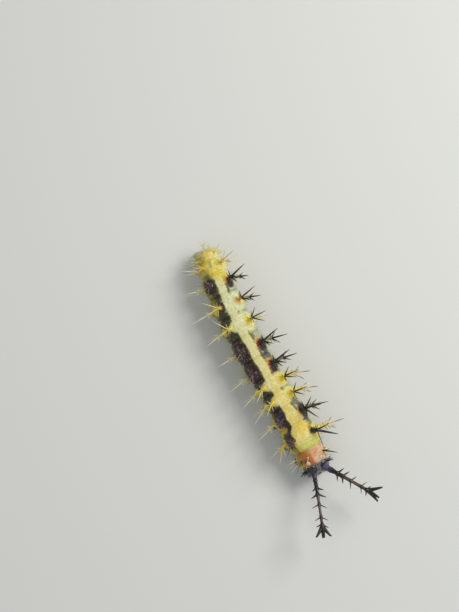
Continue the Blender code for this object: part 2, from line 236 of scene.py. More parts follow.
bpy.context.scene.view_settings.view_transform = "Standard"
lamp("key", (-0.10, 0.85, 0.95), 0.16, 0.07, 0.17, (1.0, 0.98, 0.94))
lamp("fill", (0.25, -0.75, 1.0), 0.20, 0.16, 0.04, (0.94, 0.97, 1.0))
world = bpy.data.worlds.new("room")
bpy.context.scene.world = world
world.use_nodes = True
world.node_tree.nodes["Background"].inputs["Color"].default_value = (0.90, 0.93, 0.95, 1)
world.node_tree.nodes["Background"].inputs["Strength"].default_value = 0.42
print("floor and two lamps set")

# %% [markdown]
# ## Tools for shapes and colours
# Three small tools make every piece. One turns screen colours into the light values that Blender mixes.
# One grows a round tapered tube along a path, which serves for hairs, thorns, horns and legs. One joins
# many such tubes into a single mesh, because a thousand separate hairs would choke the file.

# %% Colours
def paint(red, green, blue):
    """A screen colour of 0 to 255 as linear light."""
    c = np.array((red, green, blue)) / 255
    return np.where(c <= 0.04045, c / 12.92, ((c + 0.055) / 1.055) ** 2.4)


def ramp(value, low, high):
    """0 below low, 1 above high, eased in between. Low may be the greater one."""
    t = np.clip((value - low) / (high - low), 0, 1)
    return t * t * (3 - 2 * t)


def mixed(first, second, share):
    """A colour between two others, all second where the share is 1."""
    share = np.asarray(share)[..., None]
    return first * (1 - share) + second * share


print("middle grey of the screen is", round(float(paint(128, 128, 128)[0]), 3), "in light")

# %% Tubes
def unit(v):
    return v / np.maximum(np.linalg.norm(v, axis=-1, keepdims=True), 1e-9)


def tube(path, radii, sides, tint, root=(0.5, 0.5)):
    """A closed round tube through the points of a path. Tint is one colour or one for each point."""
    path = np.asarray(path, float)
    count = len(path)
    along = unit(np.gradient(path, axis=0))
    whole = along.sum(0)
    helper = np.eye(3)[np.argmin(np.abs(whole))]
    u = unit(np.cross(along, helper))
    v = np.cross(along, u)
    around = np.arange(sides) * 2 * np.pi / sides
    ring = np.cos(around)[None, :, None] * u[:, None] + np.sin(around)[None, :, None] * v[:, None]
    points = (path[:, None] + ring * np.asarray(radii)[:, None, None]).reshape(-1, 3)
    points = np.concatenate((points, path[:1], path[-1:]))
    i = np.arange(count - 1)[:, None] * sides + np.arange(sides)
    j = np.arange(count - 1)[:, None] * sides + (np.arange(sides) + 1) % sides
    quads = np.stack((i, j, j + sides, i + sides), -1).reshape(-1, 4)
    a = np.arange(sides)
    b = (a + 1) % sides
    last = (count - 1) * sides
    foot = np.stack((b, a, np.full(sides, count * sides)), -1)
    tip = np.stack((a + last, b + last, np.full(sides, count * sides + 1)), -1)
    tint = np.broadcast_to(tint, (count, 3))
    tints = np.concatenate((np.repeat(tint, sides, 0), tint[:1], tint[-1:]))
    spread = np.repeat(np.linspace(-0.0015, 0.0015, count), sides)
    places = np.full((count * sides + 2, 2), root, float)
    places[: count * sides, 0] += spread
    places[: count * sides, 1] += np.tile(np.cos(around) * 0.0015, count)
    return points, quads.tolist() + foot.tolist() + tip.tolist(), tints, places


def joined(parts):
    """Many small shapes as one: points, faces, tints and their places on the unwrap."""
    points, faces, tints, places = [], [], [], []
    start = 0
    for p, f, t, r in parts:
        points.append(p)
        faces += [[k + start for k in face] for face in f]
        tints.append(t)
        places.append(r)
        start += len(p)
    return np.concatenate(points), faces, np.concatenate(tints), np.concatenate(places)


sample = tube([(0, 0, 0), (0, 0, 1)], (1, 1), 6, (1, 1, 1))
print("a six-sided tube through two points has", len(sample[1]), "faces")


# %% Pieces
def piece(name, shape, finish, stands_for=(), unwrapped=False):
    """A mesh in the larva's own millimetres, as a piece of the scene that rides on the solid model."""
    points, faces, tints, places = shape
    mesh = bpy.data.meshes.new(name)
    mesh.from_pydata(((points + SHIFT) * MM).tolist(), [], faces)
    rgba = np.concatenate((tints, np.ones((len(tints), 1))), 1)
    mesh.color_attributes.new("tint", "FLOAT_COLOR", "POINT").data.foreach_set("color", rgba.ravel())
    if unwrapped:
        corners = np.empty(len(mesh.loops), int)
        mesh.loops.foreach_get("vertex_index", corners)
        mesh.uv_layers.new(name="OFBake").data.foreach_set("uv", places[corners].ravel())
    mesh.materials.append(finish)
    mesh.shade_smooth()
    mesh.update()
    obj = bpy.data.objects.new(name, mesh)
    bpy.context.scene.collection.objects.link(obj)
    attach(obj, "root")
    if stands_for:
        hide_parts(*stands_for)
    print(name, len(mesh.vertices), "points,", sum(len(f) - 2 for f in faces), "triangles")
    return obj


# %% [markdown]
# ## The shape of the skin
# A larva's skin is a soft tube, pinched at every joint between segments and creased across into narrow
# rings. A low fold runs along each flank, and a small mound lifts each branched spine. All of that is a
# radius that changes with the length and the angle, so the skin is one grid of points bent by a formula.
# Sculpting could give it too, but a formula keeps each mound exactly under its spine.

# %% Rows of spines
# For each row: the angle from the middle of the back, the length of the stalk, and that of a branch.
SPINE_ROWS = ((34, 0.50, 1.40), (74, 0.50, 1.22), (105, 0.42, 0.85))
# Where the small creases of a ring run, as shares of its length from its spines.
RING_CREASES = (-0.41, -0.30, -0.18, 0.18, 0.32)
# The pale knob on each side of the collar: its length from the tail and its angle.
KNOB_S, KNOB_ANGLE = BODY_LENGTH - 0.14, 32


def fold_noise(points, scale, seed):
    """Smooth noise from -1 to 1 at many points."""
    return np.array([noise.noise(Vector(p) / scale + Vector((seed, seed, seed))) for p in points])


def ridge(value, middle, spread):
    """1 on a line and less to both sides of it."""
    return np.exp(-(((value - middle) / spread) ** 2))


print(2 * len(SPINE_ROWS), "spines on a ring,", len(RING_CREASES), "small creases")

# %% Creases, mounds and folds
# Depth and half width of the two creases at a joint, and of a small crease of a ring.
JOINT_CREASES = ((0.085, 0.060), (0.045, 0.20))
SMALL_DEPTH, SMALL_WIDTH = 0.045, 0.038
# The mound under a spine of the top row: its height and half width, and what each lower row loses.
MOUND_HEIGHT, MOUND_HEIGHT_LOSS = 0.12, 0.025
MOUND_WIDTH, MOUND_WIDTH_LOSS = 0.24, 0.03
MOUND_FOOT = 0.04
KNOB_HEIGHT, KNOB_WIDTH = 0.10, 0.15
# Along the flank: height, angle and half width in degrees of a fold and of the groove above it.
FLANK_FOLDS = ((0.045, 122, 9), (-0.060, 93, 5))
# The shield on the last ring: its height, and the place and half width of the groove in front of it.
SHIELD_HEIGHT, SHIELD_GROOVE, SHIELD_GROOVE_WIDTH = 0.05, 1.02, 0.05


def relief(s, angle):
    """How far the skin stands out from the plain body in millimetres."""
    out = np.zeros(np.broadcast(s, angle).shape)
    turned = np.abs(angle)
    wander = 0.025 * np.sin(np.radians(turned) * 5)
    for start, end, place, size in SPANS.values():
        length = end - start
        if end < BODY_LENGTH:
            out -= sum(depth * ridge(s, end, width) for depth, width in JOINT_CREASES)
        mound = np.zeros_like(out)
        if size:
            for row, (degrees, *_) in enumerate(SPINE_ROWS):
                arc = (turned - degrees) * np.pi / 180 * half_width(place)
                off = ((s - place) ** 2 + arc**2) / (MOUND_WIDTH - MOUND_WIDTH_LOSS * row) ** 2
                height = MOUND_HEIGHT - MOUND_HEIGHT_LOSS * row
                mound += height * np.exp(-off) + MOUND_FOOT * np.exp(-off / 3)
        out += mound
        for number, step in enumerate(RING_CREASES):
            at = place + step * length
            if start + 0.1 < at < end - 0.1:
                wavy = at + wander * (1 if number % 2 else -1)
                out -= SMALL_DEPTH * ridge(s, wavy, SMALL_WIDTH) * (1 - np.clip(mound * 6, 0, 0.8))
    knob = np.hypot(s - KNOB_S, (turned - KNOB_ANGLE) * np.pi / 180 * half_width(KNOB_S))
    out += KNOB_HEIGHT * np.exp(-((knob / KNOB_WIDTH) ** 4))
    for height, degrees, width in FLANK_FOLDS:
        out += height * ridge(turned, degrees, width)
    shield = ramp(s, 0.98, 0.86) * ramp(turned, 66, 54)
    return out + SHIELD_HEIGHT * (shield - ridge(s, SHIELD_GROOVE, SHIELD_GROOVE_WIDTH))


middle_ring = SPANS["abdomen_4"][2]
print("mound under a spine", round(float(relief(middle_ring, SPINE_ROWS[0][0])), 3), "mm high")


# %% The point of the skin at a length and an angle
def body_swell(s):
    """The share of the girth that a segment has at length s: full in the middle, less at the joints."""
    swell = np.ones_like(s)
    for start, end, _, _ in SPANS.values():
        inside = (s >= start) & (s <= end)
        share = (s - start) / (end - start)
        swell = np.where(inside, 1 - FOLD_DEPTH * np.abs(2 * share - 1) ** 3, swell)
    tail = np.clip((s - TAIL_START) / TAIL_CURVE, 0, 1)
    swell = np.where(tail < 1, (1 - (1 - tail) ** 2.6) ** (1 / 2.6) * 0.97, swell)
    neck = np.clip((s - BODY_LENGTH + 0.10) / (0.10 + LIP), 0, 1)
    return swell * (1 - 0.62 * (1 - np.sqrt(1 - neck**2)))


def skin_point(s, angle, raised=True):
    """The point of the skin at length s and an angle in degrees, + to the left. The collar stands up over
    the neck like a hood, and the tail slopes down behind."""
    s, angle = np.broadcast_arrays(np.asarray(s, float), np.asarray(angle, float))
    middle, _, left = body_line(s)
    fold = (np.abs(angle) - FLANK_ANGLE) / FLANK_SPREAD
    radius = half_width(s) * body_swell(s) * (1 + FLANK_SWELL * np.exp(-fold * fold))
    lift = 0.0
    if raised:
        lift = relief(s, angle) * ramp(s, TAIL_START, 0.9) * ramp(s, BODY_LENGTH + 0.25, BODY_LENGTH)
    turn = np.radians(angle)
    out = left * ((radius + lift) * np.sin(turn))[..., None]
    hood = 0.24 * np.clip((s - BODY_LENGTH + 0.05) / 0.40, 0, 1) ** 2
    above = 1 - 0.20 * ramp(s, 1.3, 0.0) + hood
    below = 1 + 0.34 * ramp(s, 2.4, 0.9)
    slope = np.where(np.cos(turn) > 0, above, below)
    out[..., 2] += (radius * HEIGHT_SHARE + lift) * np.cos(turn) * slope
    return middle + out


def skin_way(s, angle):
    """The direction straight out of the skin, without its creases."""
    left = body_line(s)[2]
    turn = np.radians(np.asarray(angle, float))
    way = left * (np.sin(turn) * HEIGHT_SHARE)[..., None]
    way[..., 2] += np.cos(turn)
    return unit(way)


print("top of the back at", round(float(skin_point(middle_ring, 0)[2]), 2), "mm over the floor")

# %% [markdown]
# The formula is now read at 640 rings of 216 points, about 0.03 mm apart along the body. Noise and small
# warts go into the points themselves and not only into the material, so they also show along the edge of
# the body, where a bump map would leave it smooth.

# %% The grid of the skin
# Rings from tail to neck, of which some are packed into the round tail and the lip, and points round.
RINGS, ROUND = 640, 216
TAIL_RINGS, LIP_RINGS = 18, 24
TAIL_ROUND = 0.30
tail_steps = TAIL_START + TAIL_ROUND * (1 - np.cos(np.linspace(0, np.pi / 2, TAIL_RINGS)))
even_count = RINGS - TAIL_RINGS - LIP_RINGS
even_steps = np.linspace(TAIL_START + TAIL_ROUND, BODY_LENGTH, even_count + 1)[1:]
lip_steps = BODY_LENGTH + LIP * np.sin(np.linspace(0, np.pi / 2, LIP_RINGS + 1)[1:])
grid_s = np.concatenate((tail_steps + 0.002, even_steps, lip_steps))
grid_angle = -180 + 360 * (np.arange(ROUND) + 0.5) / ROUND
S, A = np.meshgrid(grid_s, grid_angle, indexing="ij")
print("skin grid", S.shape, "rings", round(float(np.diff(grid_s).max()), 3), "mm apart")

# %% Three kinds of noise
# Rough, fine and drawn out along the body. They make the skin uneven, and later the marks ragged.
flat = skin_point(S, A, False).reshape(-1, 3)
STREAK_STRETCH = np.array((2.2, 0.8, 0.8))
rough = fold_noise(flat, 0.42, 3.1).reshape(S.shape)
fine = fold_noise(flat, 0.13, 8.7).reshape(S.shape)
streak = fold_noise(flat * STREAK_STRETCH, 0.20, 5.3).reshape(S.shape)
unevenness = 0.020 * rough + 0.016 * fine + 0.012 * streak
unevenness *= ramp(S, 0.05, 0.6) * ramp(S, BODY_LENGTH + 0.15, BODY_LENGTH)
print("noise moves the skin by up to", round(float(np.abs(unevenness).max()), 3), "mm")

# %% Warts
# Tiny warts stand in loose rows along every ring. About two in three places stay bare.
DOT_ROWS = (20, 27, 43, 50, 58, 66, 82, 90, 112, 120)
DOT_STEPS = (-0.34, -0.12, 0.12, 0.36)
BARE_SHARE = 0.68
WART_HEIGHT = 0.030
WART_RIM, WART_TOP = 0.070, 0.030
warts = np.zeros_like(S)
chance = np.random.default_rng(11)
wart_count = 0
for start, end, place, _ in SPANS.values():
    for degrees in DOT_ROWS:
        for side in (1, -1):
            for step in DOT_STEPS:
                s0 = place + (step + chance.uniform(-0.07, 0.07)) * (end - start)
                a0 = (degrees + chance.uniform(-3, 3)) * side
                if chance.random() < BARE_SHARE or not 0.7 < s0 < BODY_LENGTH - 0.1:
                    continue
                i0, i1 = np.searchsorted(grid_s, (s0 - 0.12, s0 + 0.12))
                j0, j1 = np.searchsorted(grid_angle, (a0 - 7, a0 + 7))
                near = (slice(i0, i1), slice(j0, j1))
                off = np.hypot(S[near] - s0, (A[near] - a0) * np.pi / 180 * 1.35)
                warts[near] = np.maximum(warts[near], ramp(off, WART_RIM, WART_TOP))
                wart_count += 1
unevenness += WART_HEIGHT * warts
skin_points = skin_point(S, A) + skin_way(S, A) * unevenness[..., None]
print(wart_count, "warts")

# %% [markdown]
# ## Prolegs
# Four pairs of soft prolegs under the middle of the body, and one pair at the tail, hold the animal up.
# They are part of the skin, not pegs stuck into it. So a round patch of the grid is drawn down like a
# stocking: its rim stays where it was, the next rings slide down the leg, and its middle is the sole.

# %% How a proleg is drawn out
# Depth into the patch, height above the floor as a share, and radius as a share of the ankle's.
STOCKING = (
    (0.0, 1.00, 1.95), (0.14, 0.88, 1.66), (0.24, 0.72, 1.36), (0.34, 0.52, 1.16), (0.44, 0.34, 1.08),
    (0.52, 0.22, 0.94), (0.60, 0.13, 1.12), (0.70, 0.055, 1.24), (0.78, 0.012, 1.18), (0.86, 0.0, 0.98),
    (1.0, 0.0, 0.0),
)
FOLD_SIZE = 0.070
feet = []
leg_depth = np.zeros_like(S)


def draw_proleg(place, degrees, across_share, ankle, patch, side, patch_ahead=0.0):
    """Draws the round patch of skin at an angle down to a sole that stands beside the body's middle."""
    middle, forward, left = body_line(place)
    outward = left * side
    sole = middle + outward * half_width(place) * across_share
    place += patch_ahead
    top = skin_point(place, degrees * side, False)
    arc = (np.abs(A) - degrees) * np.pi / 180 * half_width(place)
    along = S - place
    off = np.hypot(along, arc) / patch
    inside = (off < 1) & (A * side > 0)
    depth = 1 - off[inside]
    heading = np.arctan2(-arc[inside], along[inside])
    t, height, girth = zip(*STOCKING)
    high = np.interp(depth, t, height)
    wide = np.interp(depth, t, girth) * ankle
    folds = np.sin(depth * 44 + 1.6 * rough[inside]) + 0.5 * np.sin(depth * 97 + 3 * fine[inside])
    wrinkle = 1 + FOLD_SIZE * folds * ramp(depth, 0.04, 0.14) * ramp(depth, 0.62, 0.52)
    wide = wide * (wrinkle + 0.05 * rough[inside] * ramp(depth, 0.75, 0.4))
    spot = sole + (top - sole) * (high * high)[:, None]
    spot += forward * (wide * np.cos(heading))[:, None]
    spot += outward * (wide * np.sin(heading))[:, None]
    spot[:, 2] = high * top[2]
    leg_depth[inside] = depth
    keep = ramp(depth, 0.0, 0.16)[:, None]
    skin_points[inside] = skin_points[inside] * (1 - keep) + spot * keep
    feet.append((sole, forward, outward, ankle))


print("a stocking of", len(STOCKING), "steps")

# %% Draw the prolegs out of the grid
# Angle of the patch, the sole's place as a share of the half width, ankle, and size of the patch.
PROLEG_SEGMENTS = ("abdomen_3", "abdomen_4", "abdomen_5", "abdomen_6")
PROLEG = (142, SOLE_OUT, 0.33, 0.62)
TAIL_PROLEG = (146, 0.66, 0.27, 0.44)
TAIL_PATCH_AHEAD = 0.20
for side in (1, -1):
    for name in PROLEG_SEGMENTS:
        draw_proleg(SPANS[name][2], *PROLEG, side)
    draw_proleg(SPANS["abdomen_end"][2], *TAIL_PROLEG, side, TAIL_PATCH_AHEAD)
skin_points[..., 2] = np.maximum(skin_points[..., 2], 0)
print(len(feet), "prolegs, lowest point", round(float(skin_points[..., 2].min()), 4), "mm")

# %% [markdown]
# ## The markings
# A cream stripe runs down the back and turns yellow and broad at the shoulders. Beside it, each ring with
# branched spines has its own mark round the root of the spine: dark maroon with an orange edge on some,
# yellow or orange on others. The left flank is pale green. The right one is dark, partly from its own dark
# mottling and partly from painted shade, as the light comes from the left. The ring behind the head is
# salmon. The marks are laid one over the other like washes of paint, each with a ragged edge from
# noise, and kept as a colour on every point.

# %% Paints
CREAM = paint(226, 228, 176)
IVORY = paint(244, 236, 206)
BUTTER = paint(236, 218, 130)
STRAW = paint(224, 214, 120)
PRIMROSE = paint(240, 232, 150)
YELLOW = paint(234, 206, 54)
GOLD = paint(244, 220, 72)
LIME = paint(214, 216, 112)
MOSS = paint(170, 156, 34)
MIST = paint(202, 214, 172)
OLIVE = paint(110, 108, 46)
AMBER = paint(250, 182, 62)
APRICOT = paint(250, 196, 108)
ORANGE = paint(232, 150, 44)
SALMON = paint(226, 176, 132)
RUST = paint(128, 52, 26)
UMBER = paint(74, 46, 22)
MAROON = paint(48, 22, 24)
PLUM = paint(58, 50, 132)
HAZE = paint(120, 110, 112)
PEWTER = paint(112, 104, 106)
SLATE = paint(84, 78, 82)
SHADE = paint(38, 36, 18)
INK = paint(16, 13, 15)
print("the palest and the darkest paint:", CREAM.round(2), INK.round(4))

# %% Coats of the branched spines
# The colour of the spines in the rows at 34, 74 and 105 degrees, on the left and then on the right. A word
# after a colon names another plan of branches than the coat's own.
SPINE_COATS = {
    "abdomen_8": ("amber pale pale", "amber pale pale"),
    "abdomen_7": ("black ashen pale", "smoky pale pale"),
    "abdomen_6": ("dusky ashen pale", "bright:trailing pale pale"),
    "abdomen_5": ("inked pale pale", "bright:trailing pale pale"),
    "abdomen_4": ("black ashen pale", "smoky pale pale"),
    "abdomen_3": ("black ashen pale", "smoky pale pale"),
    "abdomen_2": ("inked tipped pale", "bright pale pale"),
    "abdomen_1": ("inked tipped pale", "bright pale pale"),
    "metathorax": ("black:star ashen amber", "smoky pale pale"),
    "mesothorax": ("black:ahead tipped amber", "smoky:ahead bright pale"),
}
# For each coat: the stalk, the branch at its root, the branch at its tip, and where the change falls.
COATS = {
    "black": (INK, INK, paint(40, 28, 26), 0.80),
    "smoky": (paint(60, 36, 48), paint(100, 74, 66), paint(150, 126, 104), 0.50),
    "ashen": (paint(150, 142, 104), paint(66, 54, 42), paint(22, 18, 17), 0.14),
    "dusky": (paint(240, 186, 96), paint(96, 62, 32), paint(26, 20, 18), 0.20),
    "inked": (paint(242, 212, 72), paint(120, 92, 40), paint(22, 18, 17), 0.16),
    "tipped": (paint(240, 218, 120), paint(232, 212, 140), paint(26, 20, 18), 0.56),
    "amber": (paint(230, 188, 60), paint(232, 200, 100), paint(70, 50, 34), 0.70),
    "bright": (paint(234, 206, 80), paint(236, 218, 130), paint(226, 216, 176), 0.5),
    "pale": (paint(220, 212, 140), paint(234, 230, 190), paint(226, 222, 200), 0.5),
}
DARK_COATS = ("black", "smoky")
print(len(COATS), "coats for the spines of", len(SPINE_COATS), "rings")

# %% Marks of the segments
# Each segment's mark on the left and on the right: its kind, half its length, and half its angle. Where a
# right mark is darker than the left one, as moss, umber or dark, that is partly painted shade.
MARKS = {
    "abdomen_8": (("yellow", 0.40, 18), ("moss", 0.40, 18)),
    "abdomen_7": (("dark", 0.46, 17), ("dark", 0.56, 26)),
    "abdomen_6": (("orange", 0.34, 14), ("umber", 0.45, 22)),
    "abdomen_5": (("yellow", 0.42, 16), ("yellow", 0.22, 9)),
    "abdomen_4": (("dark", 0.58, 19), ("dark", 0.98, 29)),
    "abdomen_3": (("dark", 0.58, 19), ("dark", 0.92, 29)),
    "abdomen_2": (("yellow", 0.40, 16), ("yellow", 0.22, 9)),
    "abdomen_1": (("yellow", 0.36, 14), ("yellow", 0.22, 9)),
    "metathorax": (("dark", 0.64, 20), ("dark", 0.95, 30)),
    "mesothorax": (("yellow", 0.50, 16), ("dark", 0.46, 18)),
}
MARK_PAINTS = {"yellow": GOLD, "orange": APRICOT, "moss": MOSS, "umber": UMBER}
right_dark = [name for name, (_, right) in MARKS.items() if right[0] == "dark"]
print("dark on the right side:", ", ".join(right_dark))

# %% The tools of the washes
on_left = A > 0
turned = np.abs(A) + 3.5 * rough + 1.8 * fine
tint = np.broadcast_to(OLIVE, (*S.shape, 3)).copy()


def wash(colour, mask):
    """Lays a colour over the skin where the mask is 1."""
    global tint
    tint = mixed(tint, colour, np.clip(mask, 0, 1))


def blot(s0, a0, half_s, half_a, ragged=0.28, soft=0.14):
    """A round mark with a ragged edge, at length s0 and angle a0."""
    off = np.hypot((S - s0) / half_s, (A - a0) / half_a) + ragged * (0.6 * rough + 0.5 * fine)
    return ramp(off, 1 + soft, 1 - soft)


def lay_spots(spots):
    """For each spot: paint, strength, length, angle, half length, half angle, raggedness, softness."""
    for colour, strength, *spot in spots:
        wash(colour, strength * blot(*spot))


print(int(on_left.sum()), "of", on_left.size, "points are on the left")

# %% Ground of the flanks and the belly
# The left flank is pale. The right one is painted in deep shade over its own dark streaks, and turns moss
# towards the tail. Moss colours the fold, and pale green the belly.
right_tail = ~on_left * ramp(S, 6.0, 4.6) * ramp(np.abs(A) + 9 * rough, 40, 56)
streaks = ramp(streak + 0.5 * fine, 0.08, 0.30)
wash(MIST, np.where(on_left, 0.90, 0.10) * ramp(turned, 22, 34) * ramp(turned, 100, 88))
# The skin's own dark streaks, laid much stronger on the right as painted shade.
wash(SHADE, np.where(on_left, 0.12, 0.90) * streaks * ramp(turned, 40, 54))
# Painted deep shade over the right flank.
wash(SHADE, np.where(on_left, 0.0, 0.85) * ramp(turned, 14, 26) * ramp(turned, 98, 84))
wash(mixed(MOSS, OLIVE, 0.4), 0.75 * right_tail)
wash(MOSS, ramp(turned, 90, 101) * ramp(turned, 128, 118) * (0.95 - 0.5 * ramp(streak, 0.1, 0.3)))
wash(MIST, ramp(turned, 126, 142) * 0.9)
cream = mixed(CREAM, BUTTER, ramp(S, 4.0, 15.0))
print("mean of the ground", tint.mean((0, 1)).round(3))

# %% [markdown]
# A dark mark is five washes, one inside the other: grey, orange, rust, maroon and black. A bright ring has
# a patch of cream with a yellow dot in it. The left side is pale, and the right side dark, partly from its
# own dark mottling and partly from painted shade, because the light comes from the larva's left. So the
# two sides differ, and each gets a small recipe of its own.

# %% Recipes of the marks
# A left mark: how far ahead its maroon and its orange lie, and how many degrees lower it is.
LEFT_MARK, SHOULDER_MARK = (0.17, -0.04, 0), (0.06, 0.14, 6)


def dark_left(place, half_s, half_a, ahead, glow, low):
    at = place + ahead
    lay_spots((
        (HAZE, 0.50, at - 0.1, 46, half_s * 1.6, half_a * 1.2, 0.6, 0.4),
        (AMBER, 0.88, place + glow, 32 + low, half_s * 0.80, half_a * 0.98, 0.45, 0.16),
        (RUST, 1, at, 36 + 1.4 * low, half_s * 0.96, half_a * 0.94, 0.35, 0.18),
        (MAROON, 0.92, at + 0.12, 40 + 1.4 * low, half_s * 0.88, half_a * 0.86, 0.30, 0.22),
        (INK, 0.6, at - 0.2, 50, half_s * 0.7, half_a * 0.8, 0.3, 0.30),
    ))


def dark_right(place, half_s, half_a):
    wash(UMBER, 0.9 * blot(place, -47, half_s * 1.04, half_a * 1.12, 0.3, 0.16))
    wash(MAROON, blot(place + 0.03, -44, half_s, half_a, 0.26, 0.14))
    wash(INK, 0.6 * blot(place, -44, half_s * 0.8, half_a * 0.8) * ramp(streak, -0.1, 0.2))
    wash(RUST, 0.4 * blot(place + half_s * 0.5, -36, half_s * 0.4, 9) * ramp(fine, -0.1, 0.3))


def bright_mark(place, length, side, kind, half_s, half_a):
    if side > 0:
        wash(cream, 0.95 * blot(place, 30, 0.92 * length / 2, 30, 0.25, 0.22))
        wash(LIME, 0.35 * blot(place, 62, 0.50, 14, 0.4, 0.4))
    else:
        wash(cream, 0.85 * blot(place, -22, 0.42, 14, 0.3, 0.25))
    wash(MARK_PAINTS[kind], blot(place, 35 * side, half_s, half_a, 0.22, 0.22))
    if kind == "yellow":
        wash(ORANGE, 0.08 * blot(place, 33 * side, 0.16, 6, 0.2, 0.4))
    wash(YELLOW, 0.80 * blot(place, 76 * side, 0.30, 12, 0.75, 0.45))
    if side < 0 and place > 5:
        wash(GOLD, 0.80 * blot(place + 0.05, -68, 0.36, 13, 0.70, 0.40))


print("recipes for", len(MARKS), "rings")

# %% Mark of each segment
for name, marks in MARKS.items():
    start, end, place, _ = SPANS[name]
    for side, (kind, half_s, half_a) in zip((1, -1), marks):
        if kind != "dark":
            bright_mark(place, end - start, side, kind, half_s, half_a)
        elif side > 0:
            dark_left(place, half_s, half_a, *(SHOULDER_MARK if name == "metathorax" else LEFT_MARK))
        else:
            dark_right(place, half_s, half_a)
        wash(YELLOW, 0.72 * blot(place, 100 * side, 0.50, 12, 0.95, 0.50))
        # Painted shade in the joint at each ring's end, stronger on the shaded right flank.
        wash(SHADE, np.where(on_left, 0.16, 0.40) * ridge(S, end, 0.07) * ramp(turned, 24, 36))
print("marks laid, mean colour now", tint.mean((0, 1)).round(3))

# %% Spots between the marks
# Grey patches lie behind three left marks. Violet spots on the right flank are painted sheen, the glints of
# the dark skin.
GREY_PATCHES = (("abdomen_3", 0.10, 0.90), ("metathorax", -0.05, 0.75), ("mesothorax", 0.20, 0.70))
VIOLET_SHEEN_RINGS = ("abdomen_4", "abdomen_3", "mesothorax")
meta_place, meso_place = SPANS["metathorax"][2], SPANS["mesothorax"][2]
wash(YELLOW, 0.8 * blot(meta_place + 0.1, -82, 0.50, 13, 0.35, 0.35))
for name, ahead, strength in GREY_PATCHES:
    patch = blot(SPANS[name][0] + ahead, 42, 0.40, 17, 0.4, 0.30)
    wash(SLATE, strength * patch * ramp(rough + 0.6 * fine, -0.70, -0.10))
# Painted violet sheen on the dark right flank.
lay_spots((
    (PLUM, 0.90, meta_place + 0.10, -50, 0.30, 10, 0.5, 0.4),
    (PLUM, 0.60, meta_place - 0.35, -38, 0.18, 7, 0.5, 0.4),
    *((PLUM, 0.50, SPANS[name][2] - 0.10, -45, 0.22, 7, 0.5, 0.4) for name in VIOLET_SHEEN_RINGS),
))
print(len(GREY_PATCHES), "grey patches and", 2 + len(VIOLET_SHEEN_RINGS), "violet spots")

# %% [markdown]
# The stripe is one long ramp. Its half width in degrees changes along the body, and on the right it draws
# back from the dark marks. At the shoulders it widens into a yellow cape.

# %% Stripe of the back
STRIPE_PLACES, STRIPE_HALVES = (0, 3, 12.5, 14.5, 15.9, 17.2), (24, 15, 15.5, 18, 32, 50)
bulge = sum(blot(SPANS[name][2], 0, 0.55, 400, 0.1, 0.5) for name in right_dark)
stripe_half = np.interp(S, STRIPE_PLACES, STRIPE_HALVES)
stripe_half = stripe_half + np.where(on_left, 0, 2.5 - 4.5 * bulge) + 2.5 * rough
stripe_half = stripe_half - np.where(on_left, 0, 12) * ridge(S, meta_place + 0.75, 0.45)
stripe = ramp(turned, stripe_half + 3.0, stripe_half - 3.0)
stripe *= ramp(S, BODY_LENGTH - 0.9, BODY_LENGTH - 1.1)
stripe *= np.where(on_left, 1, 1 - ramp(S, 14.9, 16.0) * ramp(np.abs(A), 34, 44))
wash(cream, stripe * 0.97)
wash(IVORY, 0.45 * stripe * ramp(rough + 0.5 * streak, 0.05, 0.35) * ramp(np.abs(A), 3, 12))
wash(YELLOW, 0.55 * stripe * ramp(rough + 0.4 * fine, -0.1, 0.4) * ramp(S, 13.0, 16.0))
wash(YELLOW, 0.75 * stripe * ramp(S, 15.4, 16.0) * ramp(np.abs(A), 22, 34))
wash(PRIMROSE, 0.45 * stripe * blot(BODY_LENGTH - 1.9, 6, 0.55, 22, 0.5, 0.5))
wash(LIME, 0.75 * stripe * blot(BODY_LENGTH - 1.40, 8, 0.42, 34, 0.3, 0.4))
print("stripe covers", round(float(stripe.mean()) * 100, 1), "% of the skin")

# %% The shoulders
cape_edge = ramp(S, BODY_LENGTH - 1.75, BODY_LENGTH - 1.45)
low_yellow = ramp(S, BODY_LENGTH - 5.2, BODY_LENGTH - 3.0) * ramp(turned, 60, 72) * ramp(turned, 120, 108)
lay_spots((
    (YELLOW, 0.70, SPANS["metathorax"][1] + 0.05, -56, 0.24, 16, 0.4, 0.35),
    # The right maroon blot, bigger and darker than the left one, is partly painted shade; the plum in it is
    # painted sheen.
    (MAROON, 0.95, meso_place - 0.10, -40, 0.50, 10, 0.5, 0.25),
    (PLUM, 0.35, meso_place + 0.05, -40, 0.22, 6, 0.5, 0.4),
    (UMBER, 0.75, meso_place - 0.16, 31, 0.40, 9, 0.5, 0.4),
    (MAROON, 0.80, meso_place - 0.02, 34, 0.27, 10, 0.4, 0.3),
))
# Moss on the right edge of the cape, partly painted shade.
wash(MOSS, 0.80 * cape_edge * ramp(-A, 36, 48) * ramp(-A, 96, 84))
wash(YELLOW, 0.60 * blot(SPANS["mesothorax"][0] + 0.45, 10, 0.50, 22, 0.5, 0.5))
wash(YELLOW, 0.9 * low_yellow * ramp(rough, -0.5, -0.1) * ~on_left)
wash(LIME, 0.5 * low_yellow * on_left)
print("mean colour of the shoulders", tint[S[:, 0] > 15].mean((0, 1)).round(3))

# %% Mottling of the low flank and the prolegs
PALE_ANKLE = paint(210, 212, 150)
low_flank = ramp(turned, 68, 84) * ramp(turned, 128, 116)
